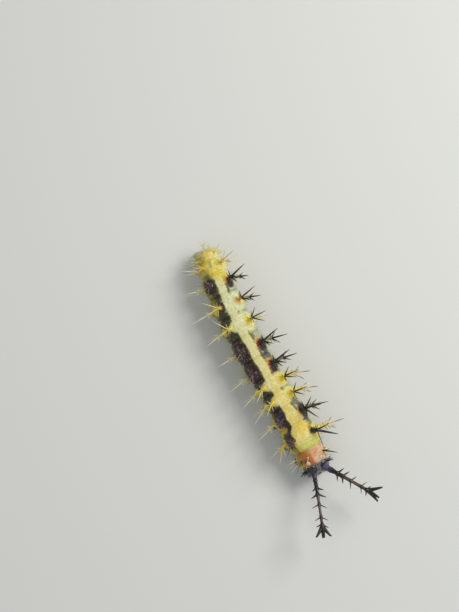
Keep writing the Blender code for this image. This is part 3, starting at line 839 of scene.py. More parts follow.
# The olive and umber mottling is the skin's own; laid stronger on the right, it is partly painted shade.
wash(OLIVE, 0.60 * low_flank * ramp(streak + 0.7 * fine, 0.10, 0.34) * np.where(on_left, 0.5, 1))
wash(UMBER, 0.45 * low_flank * ramp(rough - 0.8 * streak, 0.34, 0.52) * np.where(on_left, 0.4, 1))
wash(STRAW, 0.50 * low_flank * ramp(fine - 0.7 * streak, 0.22, 0.42))
on_leg = ramp(leg_depth, 0.06, 0.20)
leg_crease_shade = ramp(np.sin(leg_depth * 44 + 1.6 * rough), 0.1, -0.8)
wash(OLIVE, 0.55 * on_leg * ramp(rough + 0.6 * fine, -0.1, 0.3))
# Painted shade: umber in the creases of the prolegs.
wash(UMBER, 0.42 * on_leg * ramp(leg_depth, 0.64, 0.50) * leg_crease_shade)
wash(PALE_ANKLE, 0.55 * ramp(leg_depth, 0.54, 0.64))
print(int((leg_depth > 0).sum()), "points on the prolegs")

# %% Roots of the spines
# A patch of the stalk's colour, up to 0.2 mm in radius, joins each spine to the skin. Times 42, this
# radius is in degrees round the body.
ROOT_DEGREES = 42
for name, coats in SPINE_COATS.items():
    place = SPANS[name][2]
    for side, words in zip((1, -1), coats):
        for word, (degrees, *_) in zip(words.split(), SPINE_ROWS):
            coat = word.partition(":")[0]
            strength = 0.85 if coat in DARK_COATS else 0.45
            reach = 0.20 if coat == "black" else 0.17
            root = blot(place, degrees * side, reach, reach * ROOT_DEGREES, 0.2, 0.25)
            wash(COATS[coat][0], strength * root)
print(len(SPINE_COATS) * 2 * len(SPINE_ROWS), "roots coloured")

# %% [markdown]
# Tail and collar come last, because they cover what the rings left there. The tail is yellow above and
# moss green on the right, where the moss is partly painted shade. The collar is salmon with a right half
# darkened by painted shade, a pale knob on each side with a dark arc behind it, and a grey rim where it
# laps over the neck.

# %% Tail
HONEY, WHEAT = paint(228, 204, 84), paint(234, 222, 136)
CORN, CELERY, SAND = paint(232, 214, 84), paint(222, 226, 164), paint(238, 210, 160)
tail_yellow = ramp(S + 0.3 * rough + 0.5 * ramp(-A, 10, 40), 3.3, 2.6)
tail_paint = mixed(HONEY, WHEAT, ramp(rough, -0.3, 0.3))
wash(tail_paint, tail_yellow * ramp(turned, 150, 130) * 0.97)
lay_spots((
    (CORN, 0.60, 2.05, 20, 0.70, 24, 0.6, 0.5),
    (CORN, 0.60, 3.00, 12, 0.50, 22, 0.6, 0.5),
))
# Moss on the right of the tail is partly painted shade.
wash(MOSS, 0.70 * tail_yellow * ramp(rough + 0.4 * ramp(-A, 10, 60), -0.1, 0.3) * ~on_left)
wash(CELERY, 0.80 * tail_yellow * on_left * ramp(turned, 34, 52) * ramp(turned, 100, 90))
wash(SAND, 0.60 * ramp(S, 1.2, 0.4) * ramp(rough, -0.3, 0.2) * ramp(turned, 120, 90))
wash(MIST, 0.70 * ramp(S, 2.2, 1.6) * ramp(turned, 118, 132))
print("mean colour of the tail", tint[S[:, 0] < 2].mean((0, 1)).round(3))

# %% Collar
CLAY, SIENNA, PEACH = paint(196, 112, 40), paint(200, 122, 66), paint(240, 200, 160)
ROSE, PEARL = paint(206, 176, 166), paint(240, 222, 170)
COLLAR_START = BODY_LENGTH - 1.08
collar = ramp(S + 0.10 * rough, COLLAR_START - 0.18, COLLAR_START + 0.18)
front_edge = ramp(S + 0.16 * rough, BODY_LENGTH - 0.30, BODY_LENGTH)
rim = ramp(S + 0.12 * rough, BODY_LENGTH + 0.02, BODY_LENGTH + 0.16)
# Clay over the right half, and the moss and umber streaks low on the right, are painted shade over the
# salmon. The peach patches on the lit left are painted light.
wash(mixed(SALMON, CLAY, ramp(-A + 22 * rough, -6, 26)), collar * ramp(turned, 96, 80))
wash(PEACH, 0.60 * collar * ramp(rough, 0.0, 0.35) * ramp(A, -10, 10) * ramp(turned, 80, 60))
wash(SIENNA, 0.45 * collar * ramp(rough + 0.6 * streak, 0.0, -0.35) * ramp(turned, 70, 50))
wash(ROSE, 0.65 * front_edge * ramp(A + 12 * rough, -6, 14))
wash(BUTTER, 0.8 * collar * ramp(turned, 72, 86) * ramp(turned, 130, 120))
wash(MOSS, 0.75 * collar * ramp(-A + 12 * rough, 46, 62) * ramp(-A, 96, 84))
wash(UMBER, 0.40 * collar * ramp(streak + 0.5 * fine, 0.15, 0.45) * ramp(-A, 10, 40))
wash(PEWTER, 0.8 * rim)
print("collar covers", round(float(collar.mean()) * 100, 1), "% of the skin")

# %% Knobs of the collar and the tips of the warts
# For each side: the strength of the dark arc and of the pale knob.
KNOB_STRENGTHS = {1: (0.25, 0.35), -1: (1, 0.85)}
WART_HIGHLIGHT = paint(190, 178, 170)
for side, (arc_strength, knob_strength) in KNOB_STRENGTHS.items():
    knob_angle = KNOB_ANGLE * side
    arc = blot(KNOB_S - 0.05, knob_angle, 0.24, 13, 0.06) - blot(KNOB_S + 0.04, knob_angle, 0.18, 10, 0.04)
    wash(MAROON, 0.95 * arc * arc_strength)
    wash(PEARL, knob_strength * blot(KNOB_S + 0.03, knob_angle, 0.17, 9, 0.04))
# Painted highlights on the tips of the warts, stronger on dark skin.
wash(WART_HIGHLIGHT, warts * np.where(tint.mean(-1) < 0.12, 0.36, 0.16))
print("washes laid on", tint.shape[0] * tint.shape[1], "points")

# %% [markdown]
# ## The finish of the skin
# The colour on the points carries the large marks. The material adds what is too fine for them: pale
# grains, dark flecks and tiny wrinkles that catch the light. Live skin lets some light in, so a little of
# it scatters below the surface.

# %% Skin material
def mapped(add, value, low, high, least, most):
    """A node that turns values from low to high into values from least to most."""
    limits = {"From Min": low, "From Max": high, "To Min": least, "To Max": most}
    return add("ShaderNodeMapRange", {"Value": value, **limits}).outputs["Result"]


PALE_GRAIN = (0.62, 0.60, 0.42, 1)
skin_finish, shader, add, link = shader_nodes("skin_finish")
place = add("ShaderNodeTexCoord").outputs["Object"]
marks = add("ShaderNodeAttribute", attribute_name="tint").outputs["Color"]
mottle = add("ShaderNodeTexNoise", {"Vector": place, "Scale": 5200.0, "Detail": 4.0, "Roughness": 0.6})
fleck = mapped(add, mottle.outputs["Fac"], 0.30, 0.72, 0.89, 1.07)
tone = add("ShaderNodeVectorMath", {0: marks, 1: fleck}, operation="MULTIPLY").outputs["Vector"]
grains = add("ShaderNodeTexVoronoi", {"Vector": place, "Scale": 8500.0})
grain = mapped(add, grains.outputs["Distance"], 0.28, 0.10, 0.0, 0.14)
pale = add("ShaderNodeMix", {"Factor": grain, 6: tone, 7: PALE_GRAIN}, data_type="RGBA")
link(pale.outputs[2], shader.inputs["Base Color"])
creases = add("ShaderNodeTexNoise", {"Vector": place, "Scale": 9000.0, "Detail": 3.0})
heights = add("ShaderNodeMath", {0: creases.outputs["Fac"], 1: grain}, operation="ADD").outputs["Value"]
bump = add("ShaderNodeBump", {"Height": heights, "Strength": 0.60, "Distance": 0.00006})
link(bump.outputs["Normal"], shader.inputs["Normal"])
link(mapped(add, mottle.outputs["Fac"], 0.3, 0.7, 0.27, 0.50), shader.inputs["Roughness"])
shader.inputs["Subsurface Weight"].default_value = 0.12
shader.inputs["Subsurface Radius"].default_value = (1.0, 0.7, 0.3)
shader.inputs["Subsurface Scale"].default_value = 0.0002
shader.inputs["Specular IOR Level"].default_value = 0.5
print("skin finish has", len(skin_finish.node_tree.nodes), "nodes")

# %% Close the grid into one skin
def grid_faces(rings, around):
    """The faces of a closed grid of rings, with one point more at each end."""
    i = np.arange(rings - 1)[:, None] * around + np.arange(around)
    j = np.arange(rings - 1)[:, None] * around + (np.arange(around) + 1) % around
    faces = np.stack((i, i + around, j + around, j), -1).reshape(-1, 4).tolist()
    count = rings * around
    last = count - around
    faces += [[k, (k + 1) % around, count] for k in range(around)]
    faces += [[last + (k + 1) % around, last + k, count + 1] for k in range(around)]
    return faces


ends = np.stack((skin_points[0].mean(0), skin_points[-1].mean(0)))
all_points = np.concatenate((skin_points.reshape(-1, 3), ends))
all_tints = np.concatenate((tint.reshape(-1, 3), tint[:1, 0], tint[-1:, 0]))
flesh = [name for name in nodes if name in SPANS or name.startswith("proleg")]
skin_shape = (all_points, grid_faces(RINGS, ROUND), all_tints, None)
piece("skin", skin_shape, skin_finish, flesh)

# %% [markdown]
# ## Branched spines
# Ten rings carry three branched spines a side: a short stalk and a burst of stiff thin branches. The
# stalks on the dark marks are black or smoky. Most others are yellow, with branches that are pale or
# tipped with black. Each branch is a tube that tapers to a point and bends a little, never twice the same.

# %% Shapes of the branched spines
# Share of the length, and girth there as a share of the radius.
STALK_SHAPE = (
    (0.0, 1.60), (0.12, 1.34), (0.19, 1.14), (0.28, 1.02), (0.45, 0.94), (0.70, 0.86), (0.88, 0.88),
    (0.97, 0.70), (1.0, 0.30),
)
BRANCH_SHAPE = (
    (0.0, 1.50), (0.05, 1.22), (0.12, 1.0), (0.35, 0.86), (0.62, 0.64), (0.85, 0.38), (1.0, 0.10),
)
# For each coat: radius of the stalk and of a branch, length of the stalk, and the plan of its branches.
BUILDS = {
    "black": (0.138, 0.082, 0.80, "forked"),
    "smoky": (0.150, 0.042, 0.80, "slack"),
    "dusky": (0.120, 0.068, 0.92, "forked"),
    "ashen": (0.115, 0.064, 0.92, "leaning"),
    "inked": (0.125, 0.060, 0.92, "leaning"),
    "tipped": (0.150, 0.054, 1.30, "leaning"),
    "amber": (0.115, 0.038, 1.05, "leaning"),
    "bright": (0.115, 0.034, 0.90, "slack"),
    "pale": (0.085, 0.036, 1.00, "straight"),
}
# Each branch: its turn from straight ahead in degrees, with 90 for away from the back, its spread from
# the stalk, its length and its thickness.
PLANS = {
    "forked": (
        (114, 40, 1.05, 1.1), (38, 50, 0.62, 1.0), (4, 62, 0.50, 0.8), (205, 52, 0.45, 0.8),
        (275, 40, 0.66, 0.8),
    ),
    "leaning": (
        (72, 12, 1.20, 1.1), (32, 46, 0.80, 1.0), (150, 44, 0.66, 0.9), (272, 48, 0.55, 0.8),
        (335, 60, 0.45, 0.7),
    ),
    "star": (
        (80, 12, 1.10, 1.0), (30, 70, 1.00, 1.0), (140, 72, 0.78, 0.9), (95, 58, 0.80, 0.9),
        (215, 68, 0.60, 0.8), (330, 66, 0.74, 0.8), (275, 48, 0.55, 0.8),
    ),
    "ahead": (
        (48, 55, 1.10, 1.35), (-4, 78, 1.10, 0.5), (112, 45, 0.72, 0.9), (270, 50, 0.50, 0.8),
        (200, 60, 0.40, 0.7),
    ),
    "trailing": (
        (150, 46, 1.05, 1.3), (62, 30, 0.80, 1.1), (8, 62, 0.50, 0.9), (262, 44, 0.66, 0.8),
        (205, 60, 0.40, 0.8),
    ),
    "slack": (
        (42, 42, 0.95, 1.3), (112, 52, 0.55, 0.9), (8, 62, 0.55, 0.9), (262, 44, 0.72, 0.8),
        (185, 60, 0.40, 0.8),
    ),
    "straight": (
        (90, 5, 1.45, 1.1), (38, 56, 0.52, 0.8), (142, 56, 0.50, 0.8), (268, 58, 0.40, 0.8),
        (0, 64, 0.34, 0.7), (182, 64, 0.34, 0.7),
    ),
}
print(len(PLANS), "plans of branches, longest", max(len(plan) for plan in PLANS.values()), "branches")

# %% How the spines lean
# The spines at the ends of the body lean outward by this many degrees.
END_LEAN = 24.0
# Some stalks of the top row are longer than the others.
LONG_STALKS = {"metathorax": 1.45, "mesothorax": 1.15}
# The spines at 74 degrees, left and right: their lean towards the head in degrees, and their share of the
# length.
FLANK_ROW = 74
FLANK_LEANS = {
    "abdomen_8": ((6, 0.70), (-8, 0.85)),
    "abdomen_7": ((22, 0.52), (2, 0.72)),
    "abdomen_6": ((20, 0.56), (12, 0.80)),
    "abdomen_5": ((18, 0.54), (15, 0.84)),
    "abdomen_4": ((12, 0.82), (2, 0.68)),
    "abdomen_3": ((8, 0.72), (10, 0.88)),
    "abdomen_2": ((15, 1.02), (14, 0.95)),
    "abdomen_1": ((13, 0.95), (20, 0.76)),
    "metathorax": ((8, 0.82), (8, 0.84)),
    "mesothorax": ((-6, 0.84), (10, 0.98)),
}
leans = [lean for pair in FLANK_LEANS.values() for lean, _ in pair]
print("flank spines lean by", min(leans), "to", max(leans), "degrees")

# %% [markdown]
# A spine starts from its place on the skin and grows straight out of it. Near the head it leans forward,
# and near the tail it leans back. The branches are aimed from the top of the stalk: a turn tells which way
# round, and a spread tells how far from the stalk. A little chance in both keeps them from looking combed.

# %% One branch
# Branches never dip below this height over the floor, in millimetres.
ABOVE_FLOOR = 0.012
chance = np.random.default_rng(5)


def unwrap_place(s, angle):
    """The place on the unwrap that belongs to length s and an angle."""
    return (0.02 + 0.96 * s / (BODY_LENGTH + 1), 0.5 + angle / 380)


def branch(root, way, length, radius, coat, place, sides=6, bow=0.05):
    """One thin branch from its root outward, a little curved."""
    _, near, far, change = COATS[coat]
    side = unit(np.cross(way, chance.normal(size=3)))
    t, girth = map(np.array, zip(*BRANCH_SHAPE))
    curve = side * (t * t * length * bow * chance.uniform(0.2, 1))[:, None]
    path = root + way * (t * length)[:, None] + curve
    path[:, 2] = np.maximum(path[:, 2], ABOVE_FLOOR)
    return tube(path, girth * radius, sides, mixed(near, far, ramp(t, change - 0.25, change + 0.25)), place)


print("a branch is bent at", len(BRANCH_SHAPE), "points")

# %% One whole spine
# The stalk goes this deep into the skin. Low on it sit three more branches, this thin.
ROOT_DEPTH = 0.10
LOW_TURNS, LOW_THIN = (70, 190, 310), 0.62


def branched_spine(s, angle, stalk, reach, coat, plan, more_lean=0.0):
    """A stalk with its branches round the top, and a few thinner ones lower down. Its foot has the colour
    of the skin around it."""
    thick, thin, stalk_share, usual_plan = BUILDS[coat]
    stalk = stalk * stalk_share
    normal = skin_way(np.array(s), angle)
    forward = body_line(s)[1]
    share = 2 * s / BODY_LENGTH - 1
    lean = math.radians(END_LEAN * share * abs(share) + more_lean)
    axis = unit(normal * math.cos(lean) + forward * math.sin(lean))
    ahead = unit(forward - axis * forward.dot(axis))
    aside = np.cross(axis, ahead)
    outward = aside if angle > 0 else -aside
    root = skin_point(s, angle)
    place = unwrap_place(s, angle)
    t, girth = map(np.array, zip(*STALK_SHAPE))
    path = root + axis * (t * (stalk + ROOT_DEPTH) - ROOT_DEPTH)[:, None]
    knobs = 1 + 0.05 * np.sin(t * 31 + s)
    skin_here = tint[np.searchsorted(grid_s, s), np.searchsorted(grid_angle, angle)]
    stalk_tint = mixed(skin_here, COATS[coat][0], ramp(t, 0.08, 0.45))
    made = [tube(path, girth * thick * knobs, 12, stalk_tint, place)]
    top = root + axis * stalk

    def aim(turn, spread):
        turn, spread = math.radians(turn), math.radians(spread)
        out = ahead * math.cos(turn) + outward * math.sin(turn)
        return axis * math.cos(spread) + out * math.sin(spread)

    for turn, spread, share, girth in PLANS[plan or usual_plan]:
        way = aim(turn + chance.uniform(-10, 10), spread + chance.uniform(-5, 5))
        length = reach * share * chance.uniform(0.90, 1.12)
        seat = top - axis * (0.06 + 0.10 * chance.random() * (spread > 20))
        made.append(branch(seat, way, length, thin * girth, coat, place))
    for turn in LOW_TURNS:
        way = aim(turn + chance.uniform(-35, 35), 66 + chance.uniform(-10, 8))
        low = root + axis * stalk * chance.uniform(0.40, 0.66)
        made.append(branch(low, way, reach * chance.uniform(0.26, 0.44), thin * LOW_THIN, coat, place))
    return made


print("low branches are", LOW_THIN, "as thick as those of the top")

# %% Grow the branched spines
spines = {"dark": [], "light": []}
for name, (_, _, place, size) in SPANS.items():
    if not size:
        continue
    for side, coats in zip((1, -1), SPINE_COATS[name]):
        for word, (degrees, stalk, reach) in zip(coats.split(), SPINE_ROWS):
            coat, _, plan = word.partition(":")
            stalk = stalk * size * (LONG_STALKS.get(name, 1) if degrees < 60 else 1)
            kind = "dark" if coat in DARK_COATS else "light"
            lean, length = FLANK_LEANS[name][side < 0] if degrees == FLANK_ROW else (0, 1)
            reach = reach * size * length
            spines[kind] += branched_spine(place, degrees * side, stalk, reach, coat, plan, lean)
print({kind: len(made) for kind, made in spines.items()}, "tubes")

# %% [markdown]
# ## The finish of spines, horns and head
# Hardened parts of a larva shine like lacquer: dark ones show a sharp highlight, pale ones look waxy. One
# recipe serves for them all. It takes its colour from the points and adds fine grain, and only gloss and
# grain size change from part to part.

# %% A recipe for hard parts
def shell_finish(name, gloss, grain_size, grain_depth, coat=0.0):
    """A hard finish with its gloss from 0 to 1, the size and depth of its grain in millimetres, and a coat
    of lacquer from 0 to 1."""
    material, shader, add, link = shader_nodes(name)
    place = add("ShaderNodeTexCoord").outputs["Object"]
    marks = add("ShaderNodeAttribute", attribute_name="tint").outputs["Color"]
    cloud = add("ShaderNodeTexNoise", {"Vector": place, "Scale": 1 / (grain_size * MM), "Detail": 3.0})
    cloud = cloud.outputs["Fac"]
    shade = mapped(add, cloud, 0.3, 0.7, 0.72, 1.2)
    tone = add("ShaderNodeVectorMath", {0: marks, 1: shade}, operation="MULTIPLY")
    link(tone.outputs["Vector"], shader.inputs["Base Color"])
    link(mapped(add, cloud, 0.3, 0.7, gloss * 0.8, gloss * 1.3), shader.inputs["Roughness"])
    bump = add("ShaderNodeBump", {"Height": cloud, "Strength": 0.5, "Distance": grain_depth * MM})
    link(bump.outputs["Normal"], shader.inputs["Normal"])
    shader.inputs["Coat Weight"].default_value = coat
    shader.inputs["Coat Roughness"].default_value = 0.15
    return material


dark_spine_finish = shell_finish("dark_spine_finish", 0.28, 0.08, 0.01, 0.3)
light_spine_finish = shell_finish("light_spine_finish", 0.42, 0.10, 0.01)
light_shader = light_spine_finish.node_tree.nodes["Principled BSDF"]
light_shader.inputs["Subsurface Weight"].default_value = 0.25
light_shader.inputs["Subsurface Scale"].default_value = 0.0001
piece("dark_spines", joined(spines["dark"]), dark_spine_finish, unwrapped=True)
piece("light_spines", joined(spines["light"]), light_spine_finish, unwrapped=True)

# %% [markdown]
# ## Bristles and down
# The ring behind the head and the tail carry single bristles instead of branched spines. All over the
# skin stand very short hairs, too fine for the picture but plain to see under a lens. They are the same
# tubes again, set by a seeded draw so that every run grows the same coat.

# %% Bristles of the collar and the tail
# Share of the segment, angle, length, lean forward in degrees, coat.
BRISTLES = {
    "prothorax": (
        (0.5, 22, 0.70, 18, "pale"), (0.56, 58, 1.25, 30, "black"), (0.5, 98, 0.95, 12, "pale"),
        (0.72, 34, 0.80, 34, "pale"), (0.62, 76, 1.00, 20, "pale"), (0.34, 84, 0.80, -4, "pale"),
        (0.80, 60, 0.70, 36, "amber"), (0.30, 108, 0.75, 0, "pale"), (0.70, 112, 0.80, 22, "pale"),
    ),
    "abdomen_end": (
        (0.62, 30, 1.00, -18, "amber"), (0.60, 82, 0.90, -18, "pale"), (0.28, 52, 0.85, -45, "pale"),
        (0.28, 100, 0.75, -45, "pale"), (0.80, 58, 0.80, -10, "bright"), (0.14, 24, 0.80, -62, "pale"),
        (0.45, 14, 0.60, -30, "bright"), (0.12, 74, 0.75, -66, "pale"), (0.80, 104, 0.80, -8, "pale"),
    ),
}
BRISTLE_THIN, BRISTLE_THICK = 0.023, 0.062
SOCKET_RADII = (0.060, 0.050, 0.015)
hairs = []
for name, rows in BRISTLES.items():
    start, end, _, _ = SPANS[name]
    for side in (1, -1):
        for share, degrees, length, lean, coat in rows:
            s = start + (end - start) * (share + chance.uniform(-0.03, 0.03))
            angle = (degrees + chance.uniform(-3, 3)) * side
            lean = math.radians(lean + chance.uniform(-5, 5))
            way = unit(skin_way(np.array(s), angle) * math.cos(lean) + body_line(s)[1] * math.sin(lean))
            root = skin_point(s, angle) - way * 0.04
            place = unwrap_place(s, angle)
            thin = BRISTLE_THICK if coat == "black" and side > 0 else BRISTLE_THIN
            socket = (root, root + way * 0.05, root + way * 0.09)
            hairs.append(tube(socket, SOCKET_RADII, 8, COATS[coat][0], place))
            reach = length * chance.uniform(1.0, 1.3)
            hairs.append(branch(root + way * 0.03, way, reach, thin, coat, place))
            for _ in range(2):
                split = unit(way + 0.5 * chance.normal(size=3))
                reach = length * chance.uniform(0.5, 0.9)
                hairs.append(branch(root + way * 0.04, split, reach, thin * 0.7, coat, place))
print(len(hairs), "bristles and sockets")

# %% Down all over the skin
DOWN_HAIRS = 1500
DOWN_RADII = (0.0065, 0.0045, 0.0012)
FAIR_DOWN, DARK_DOWN = paint(216, 210, 160), paint(60, 44, 30)
DOWN_SAG = np.array((0, 0, -0.03))
for _ in range(DOWN_HAIRS):
    s = chance.uniform(0.35, BODY_LENGTH - 0.35)
    angle = chance.uniform(-140, 140)
    way = unit(skin_way(np.array(s), angle) + 0.35 * chance.normal(size=3))
    root = skin_point(s, angle) - way * 0.02
    length = chance.uniform(0.14, 0.34) * (1.5 if abs(angle) > 90 else 1)
    path = [root, root + way * length * 0.5, root + way * length + DOWN_SAG]
    colour = FAIR_DOWN if chance.random() < 0.7 else DARK_DOWN
    hairs.append(tube(path, DOWN_RADII, 4, colour, unwrap_place(s, angle)))
piece("bristles", joined(hairs), light_spine_finish, unwrapped=True)

# %% [markdown]
# ## The head
# The head is a hard capsule with two round lobes. A groove runs down the middle and forks round the
# three-sided plate of the face. The lobes are two eggs in the solid model. Here, rays from the middle of the
# head find the farther egg in each direction, and grooves and grain are then added to that distance.

# %% Place the head
# Each lobe's half sizes ahead, to the side and up, and how far it stands from the middle.
HEAD_LOBE = np.array((0.66, 0.62, 0.98))
LOBE_OFFSET = 0.42
HEAD_AHEAD, HEAD_HEIGHT = 0.15 + 0.22, 1.52
HEAD_YAW, FACE_TILT = math.radians(4), math.radians(-10)
# Where a horn leaves the head: ahead, out and up.
HORN_SEAT = (0.38, 0.52, 0.60)
neck, neck_forward, _ = body_line(BODY_LENGTH)
head_middle = neck + neck_forward * HEAD_AHEAD
head_middle[2] = HEAD_HEIGHT
heading = math.atan2(neck_forward[1], neck_forward[0]) + HEAD_YAW
turn = Matrix.Rotation(heading, 3, "Z") @ Matrix.Rotation(FACE_TILT, 3, "Y")
HEAD_AXES = np.array(turn).T
level_forward = np.array((math.cos(heading), math.sin(heading), 0))
level_left = np.array((-math.sin(heading), math.cos(heading), 0))
UP = np.array((0, 0, 1.0))


def head_place(local):
    """A place given as ahead, left and up from the middle of the head."""
    return head_middle + np.asarray(local, float) @ HEAD_AXES


def horn_root(side):
    """The place of a horn's root from the middle of the head, in the head's own axes."""
    level = level_forward * HORN_SEAT[0] + level_left * HORN_SEAT[1] * side + UP * HORN_SEAT[2]
    return HEAD_AXES @ level


print("the head looks", round(math.degrees(heading), 1), "degrees to the left of straight ahead")

# %% The two eggs and the lines of the face
# Lines on the left half of the face, from (left, up) to (left, up): the pale fork, the groove beside the
# face plate, and the edge over the mouth.
FORK_LINE = ((0, 0.18), (0.36, -0.60))
PLATE_LINE = ((0, 0.02), (0.27, -0.58))
MOUTH_LINE = ((0, -0.60), (0.40, -0.62))


def lobe_reach(way, side):
    """How far the egg of one lobe reaches in each direction from the middle of the head."""
    centre = np.array((0, side * LOBE_OFFSET, 0))
    a = ((way / HEAD_LOBE) ** 2).sum(-1)
    b = (way * centre / HEAD_LOBE**2).sum(-1)
    c = ((centre / HEAD_LOBE) ** 2).sum() - 1
    return (b + np.sqrt(b * b - a * c)) / a


def near_line(y, z, line):
    """Distance on the face to a line."""
    start, end = np.array(line, float)
    p = np.stack((y, z), -1) - start
    d = end - start
    t = np.clip((p * d).sum(-1) / (d * d).sum(), 0, 1)
    return np.linalg.norm(p - t[..., None] * d, axis=-1)


print("a lobe reaches", round(float(lobe_reach(UP, 1)), 2), "mm straight up")

# %% Shape the capsule
def capsule(way):
    """How far the capsule reaches in each direction."""
    both = np.stack((lobe_reach(way, 1), lobe_reach(way, -1)))
    reach = np.log(np.exp(both * 16).sum(0)) / 16 - 0.012
    p = way * reach[..., None]
    facing = ramp(way[..., 0], 0.0, 0.35)
    y, z = np.abs(p[..., 1]), p[..., 2]
    fork, plate, mouth = (near_line(y, z, line) for line in (FORK_LINE, PLATE_LINE, MOUTH_LINE))
    reach = reach - 0.05 * (ridge(p[..., 1], 0, 0.035) * ramp(z, 0.05, 0.2))
    reach = reach - facing * (0.040 * ridge(fork, 0, 0.03) + 0.018 * ridge(plate, 0, 0.02))
    reach = reach - facing * 0.035 * ridge(mouth, 0, 0.03)
    for side in (1, -1):
        reach = reach + 0.10 * ridge(way @ unit(horn_root(side)), 1, 0.035)
    cheek = np.exp(-((y - 0.78) ** 2 + (z + 0.50) ** 2) / 0.05)
    return reach + 0.03 * cheek * ramp(way[..., 0], -0.1, 0.3)


print("the capsule reaches", round(float(capsule(np.array((1.0, 0, 0)))), 2), "mm ahead")

# %% A ball of even cells
# The six sides of a cube are cut into squares and blown up to a ball. Points on shared edges are joined.
SIDE_STEPS = 84
cells = np.tan(np.linspace(-1, 1, SIDE_STEPS + 1) * np.pi / 4)
head_ways, head_faces = [], []
for axis in range(3):
    for sign in (1, -1):
        u, v = np.meshgrid(cells, cells, indexing="ij")
        cube = np.empty((*u.shape, 3))
        cube[..., axis] = sign
        cube[..., (axis + 1) % 3] = u
        cube[..., (axis + 2) % 3] = v
        start = sum(len(w) for w in head_ways)
        n = SIDE_STEPS + 1
        k = start + np.arange(n - 1)[:, None] * n + np.arange(n - 1)
        quad = np.stack((k, k + n, k + n + 1, k + 1), -1).reshape(-1, 4)
        head_faces += (quad if sign > 0 else quad[:, ::-1]).tolist()
        head_ways.append(unit(cube).reshape(-1, 3))
head_ways = np.concatenate(head_ways)
_, first, back_to = np.unique(head_ways.round(6), axis=0, return_index=True, return_inverse=True)
head_ways = head_ways[first]
head_faces = [[int(back_to.ravel()[k]) for k in face] for face in head_faces]
print("ball of", len(head_ways), "points and", len(head_faces), "squares")

# %% Draw the capsule out of the ball
# Fine grain and small pits are added to the distance that the two eggs give.
GRAIN_HEIGHT = PIT_DEPTH = 0.012
head_reach = capsule(head_ways)
grain = fold_noise(head_ways * head_reach[:, None], 0.075, 2.2)
pits = fold_noise(head_ways * head_reach[:, None], 0.22, 6.4)
head_local = head_ways * (head_reach + GRAIN_HEIGHT * grain + PIT_DEPTH * pits)[:, None]
print("capsule", len(head_local), "points, size", np.ptp(head_local, axis=0).round(2), "mm")

# %% Colour the capsule
JET = paint(16, 13, 15)
VIOLET_SHEEN = paint(88, 80, 118)
BONE = paint(186, 182, 172)
BRICK = paint(84, 34, 20)
GREY_HIGHLIGHT = paint(150, 142, 148)
# How strongly each lobe gets a painted violet sheen where its horn begins, stronger on the lit left.
VIOLET_SHEEN_STRENGTHS = {1: 0.80, -1: 0.22}
ahead, aside, high = head_local.T
out_from_middle = np.abs(aside)
head_tint = np.broadcast_to(JET, head_local.shape).copy()
blur = 0.10 * pits + 0.05 * grain


def head_wash(colour, mask):
    """Lays a colour over the capsule where the mask is 1."""
    global head_tint
    head_tint = mixed(head_tint, colour, np.clip(mask, 0, 1))


crown = ramp(out_from_middle + 3 * blur, 0.26, 0.06) * ramp(high + 2 * blur, 0.30, 0.55)
fork = near_line(out_from_middle, high, FORK_LINE) + 0.25 * pits * 0.10
cheek_spot = np.hypot((out_from_middle - 0.78) / 0.8, (high + 0.12) / 1.3) + 0.10 * pits
face_spot = np.hypot(aside, (high + 0.50) / 0.6) + blur
# Painted highlight: grey glints on the top and back of the capsule.
painted_highlight = ramp(pits + 0.5 * grain, 0.05, 0.45) * ramp(high, 0.30, 0.6) * ramp(ahead, 0.20, -0.15)
head_wash(BRICK, 0.45 * ramp(high + 3 * blur, -0.40, -0.70))
head_wash(BONE, 0.60 * crown * ramp(ahead, -0.45, -0.25))
head_wash(BONE, 0.85 * ramp(fork, 0.070, 0.055) * ramp(ahead, 0.1, 0.3) * ramp(high, 0.20, 0.05))
head_wash(BONE, 0.80 * ramp(cheek_spot, 0.150, 0.125) * ramp(ahead, 0.0, 0.2))
head_wash(BONE, 0.55 * ramp(face_spot, 0.12, 0.09) * ramp(ahead, 0.1, 0.3))
# The painted highlight lies on the lit left lobe.
head_wash(GREY_HIGHLIGHT, 0.60 * painted_highlight * ramp(aside, -0.35, 0.05))
for side, strength in VIOLET_SHEEN_STRENGTHS.items():
    away = np.linalg.norm(head_local - horn_root(side) * 1.1, axis=1)
    head_wash(VIOLET_SHEEN, strength * ramp(away + 2.5 * blur, 0.50, 0.26))
head_finish = shell_finish("head_finish", 0.26, 0.10, 0.02, 0.4)
head_shape = (head_place(head_local), head_faces, head_tint, None)
piece("head_capsule", head_shape, head_finish, ["head"])

# %% [markdown]
# ## Mouth parts, feelers and eyes
# Below the face plate hang a notched lip and two jaws. Beside them sit the short jointed feelers, and
# under them the small palps. A larva has no large eyes, only six tiny glassy beads on each cheek.

# %% Small solids on the head
def bead(middle, radii, axes, tint, sides=16, rows=10, press=None):
    """An egg-shaped solid with its own axes. Press may change its shape in those axes."""
    lat = np.linspace(0, np.pi, rows + 1)[1:-1]
    lon = np.arange(sides) * 2 * np.pi / sides
    level = np.ones(sides)
    round_about = (np.outer(np.sin(lat), np.cos(lon)), np.outer(np.sin(lat), np.sin(lon)))
    shape = np.stack((*round_about, np.outer(np.cos(lat), level)), -1)
    local = np.concatenate((shape.reshape(-1, 3), ((0, 0, 1), (0, 0, -1))))
    local = press(local) if press else local
    points = middle + (local * radii) @ axes
    places = np.full((len(points), 2), 0.5)
    return points, grid_faces(rows - 1, sides), np.broadcast_to(tint, (len(points), 3)), places


def notched(p):
    """Cuts the notch in the middle of the lip's lower edge and flattens its front."""
    p = p.copy()
    low = ramp(p[:, 2], 0.2, -0.8)
    p[:, 2] += 0.55 * low * np.exp(-((p[:, 1] / 0.22) ** 2))
    p[:, 0] *= 0.7 + 0.3 * (1 - low)
    return p


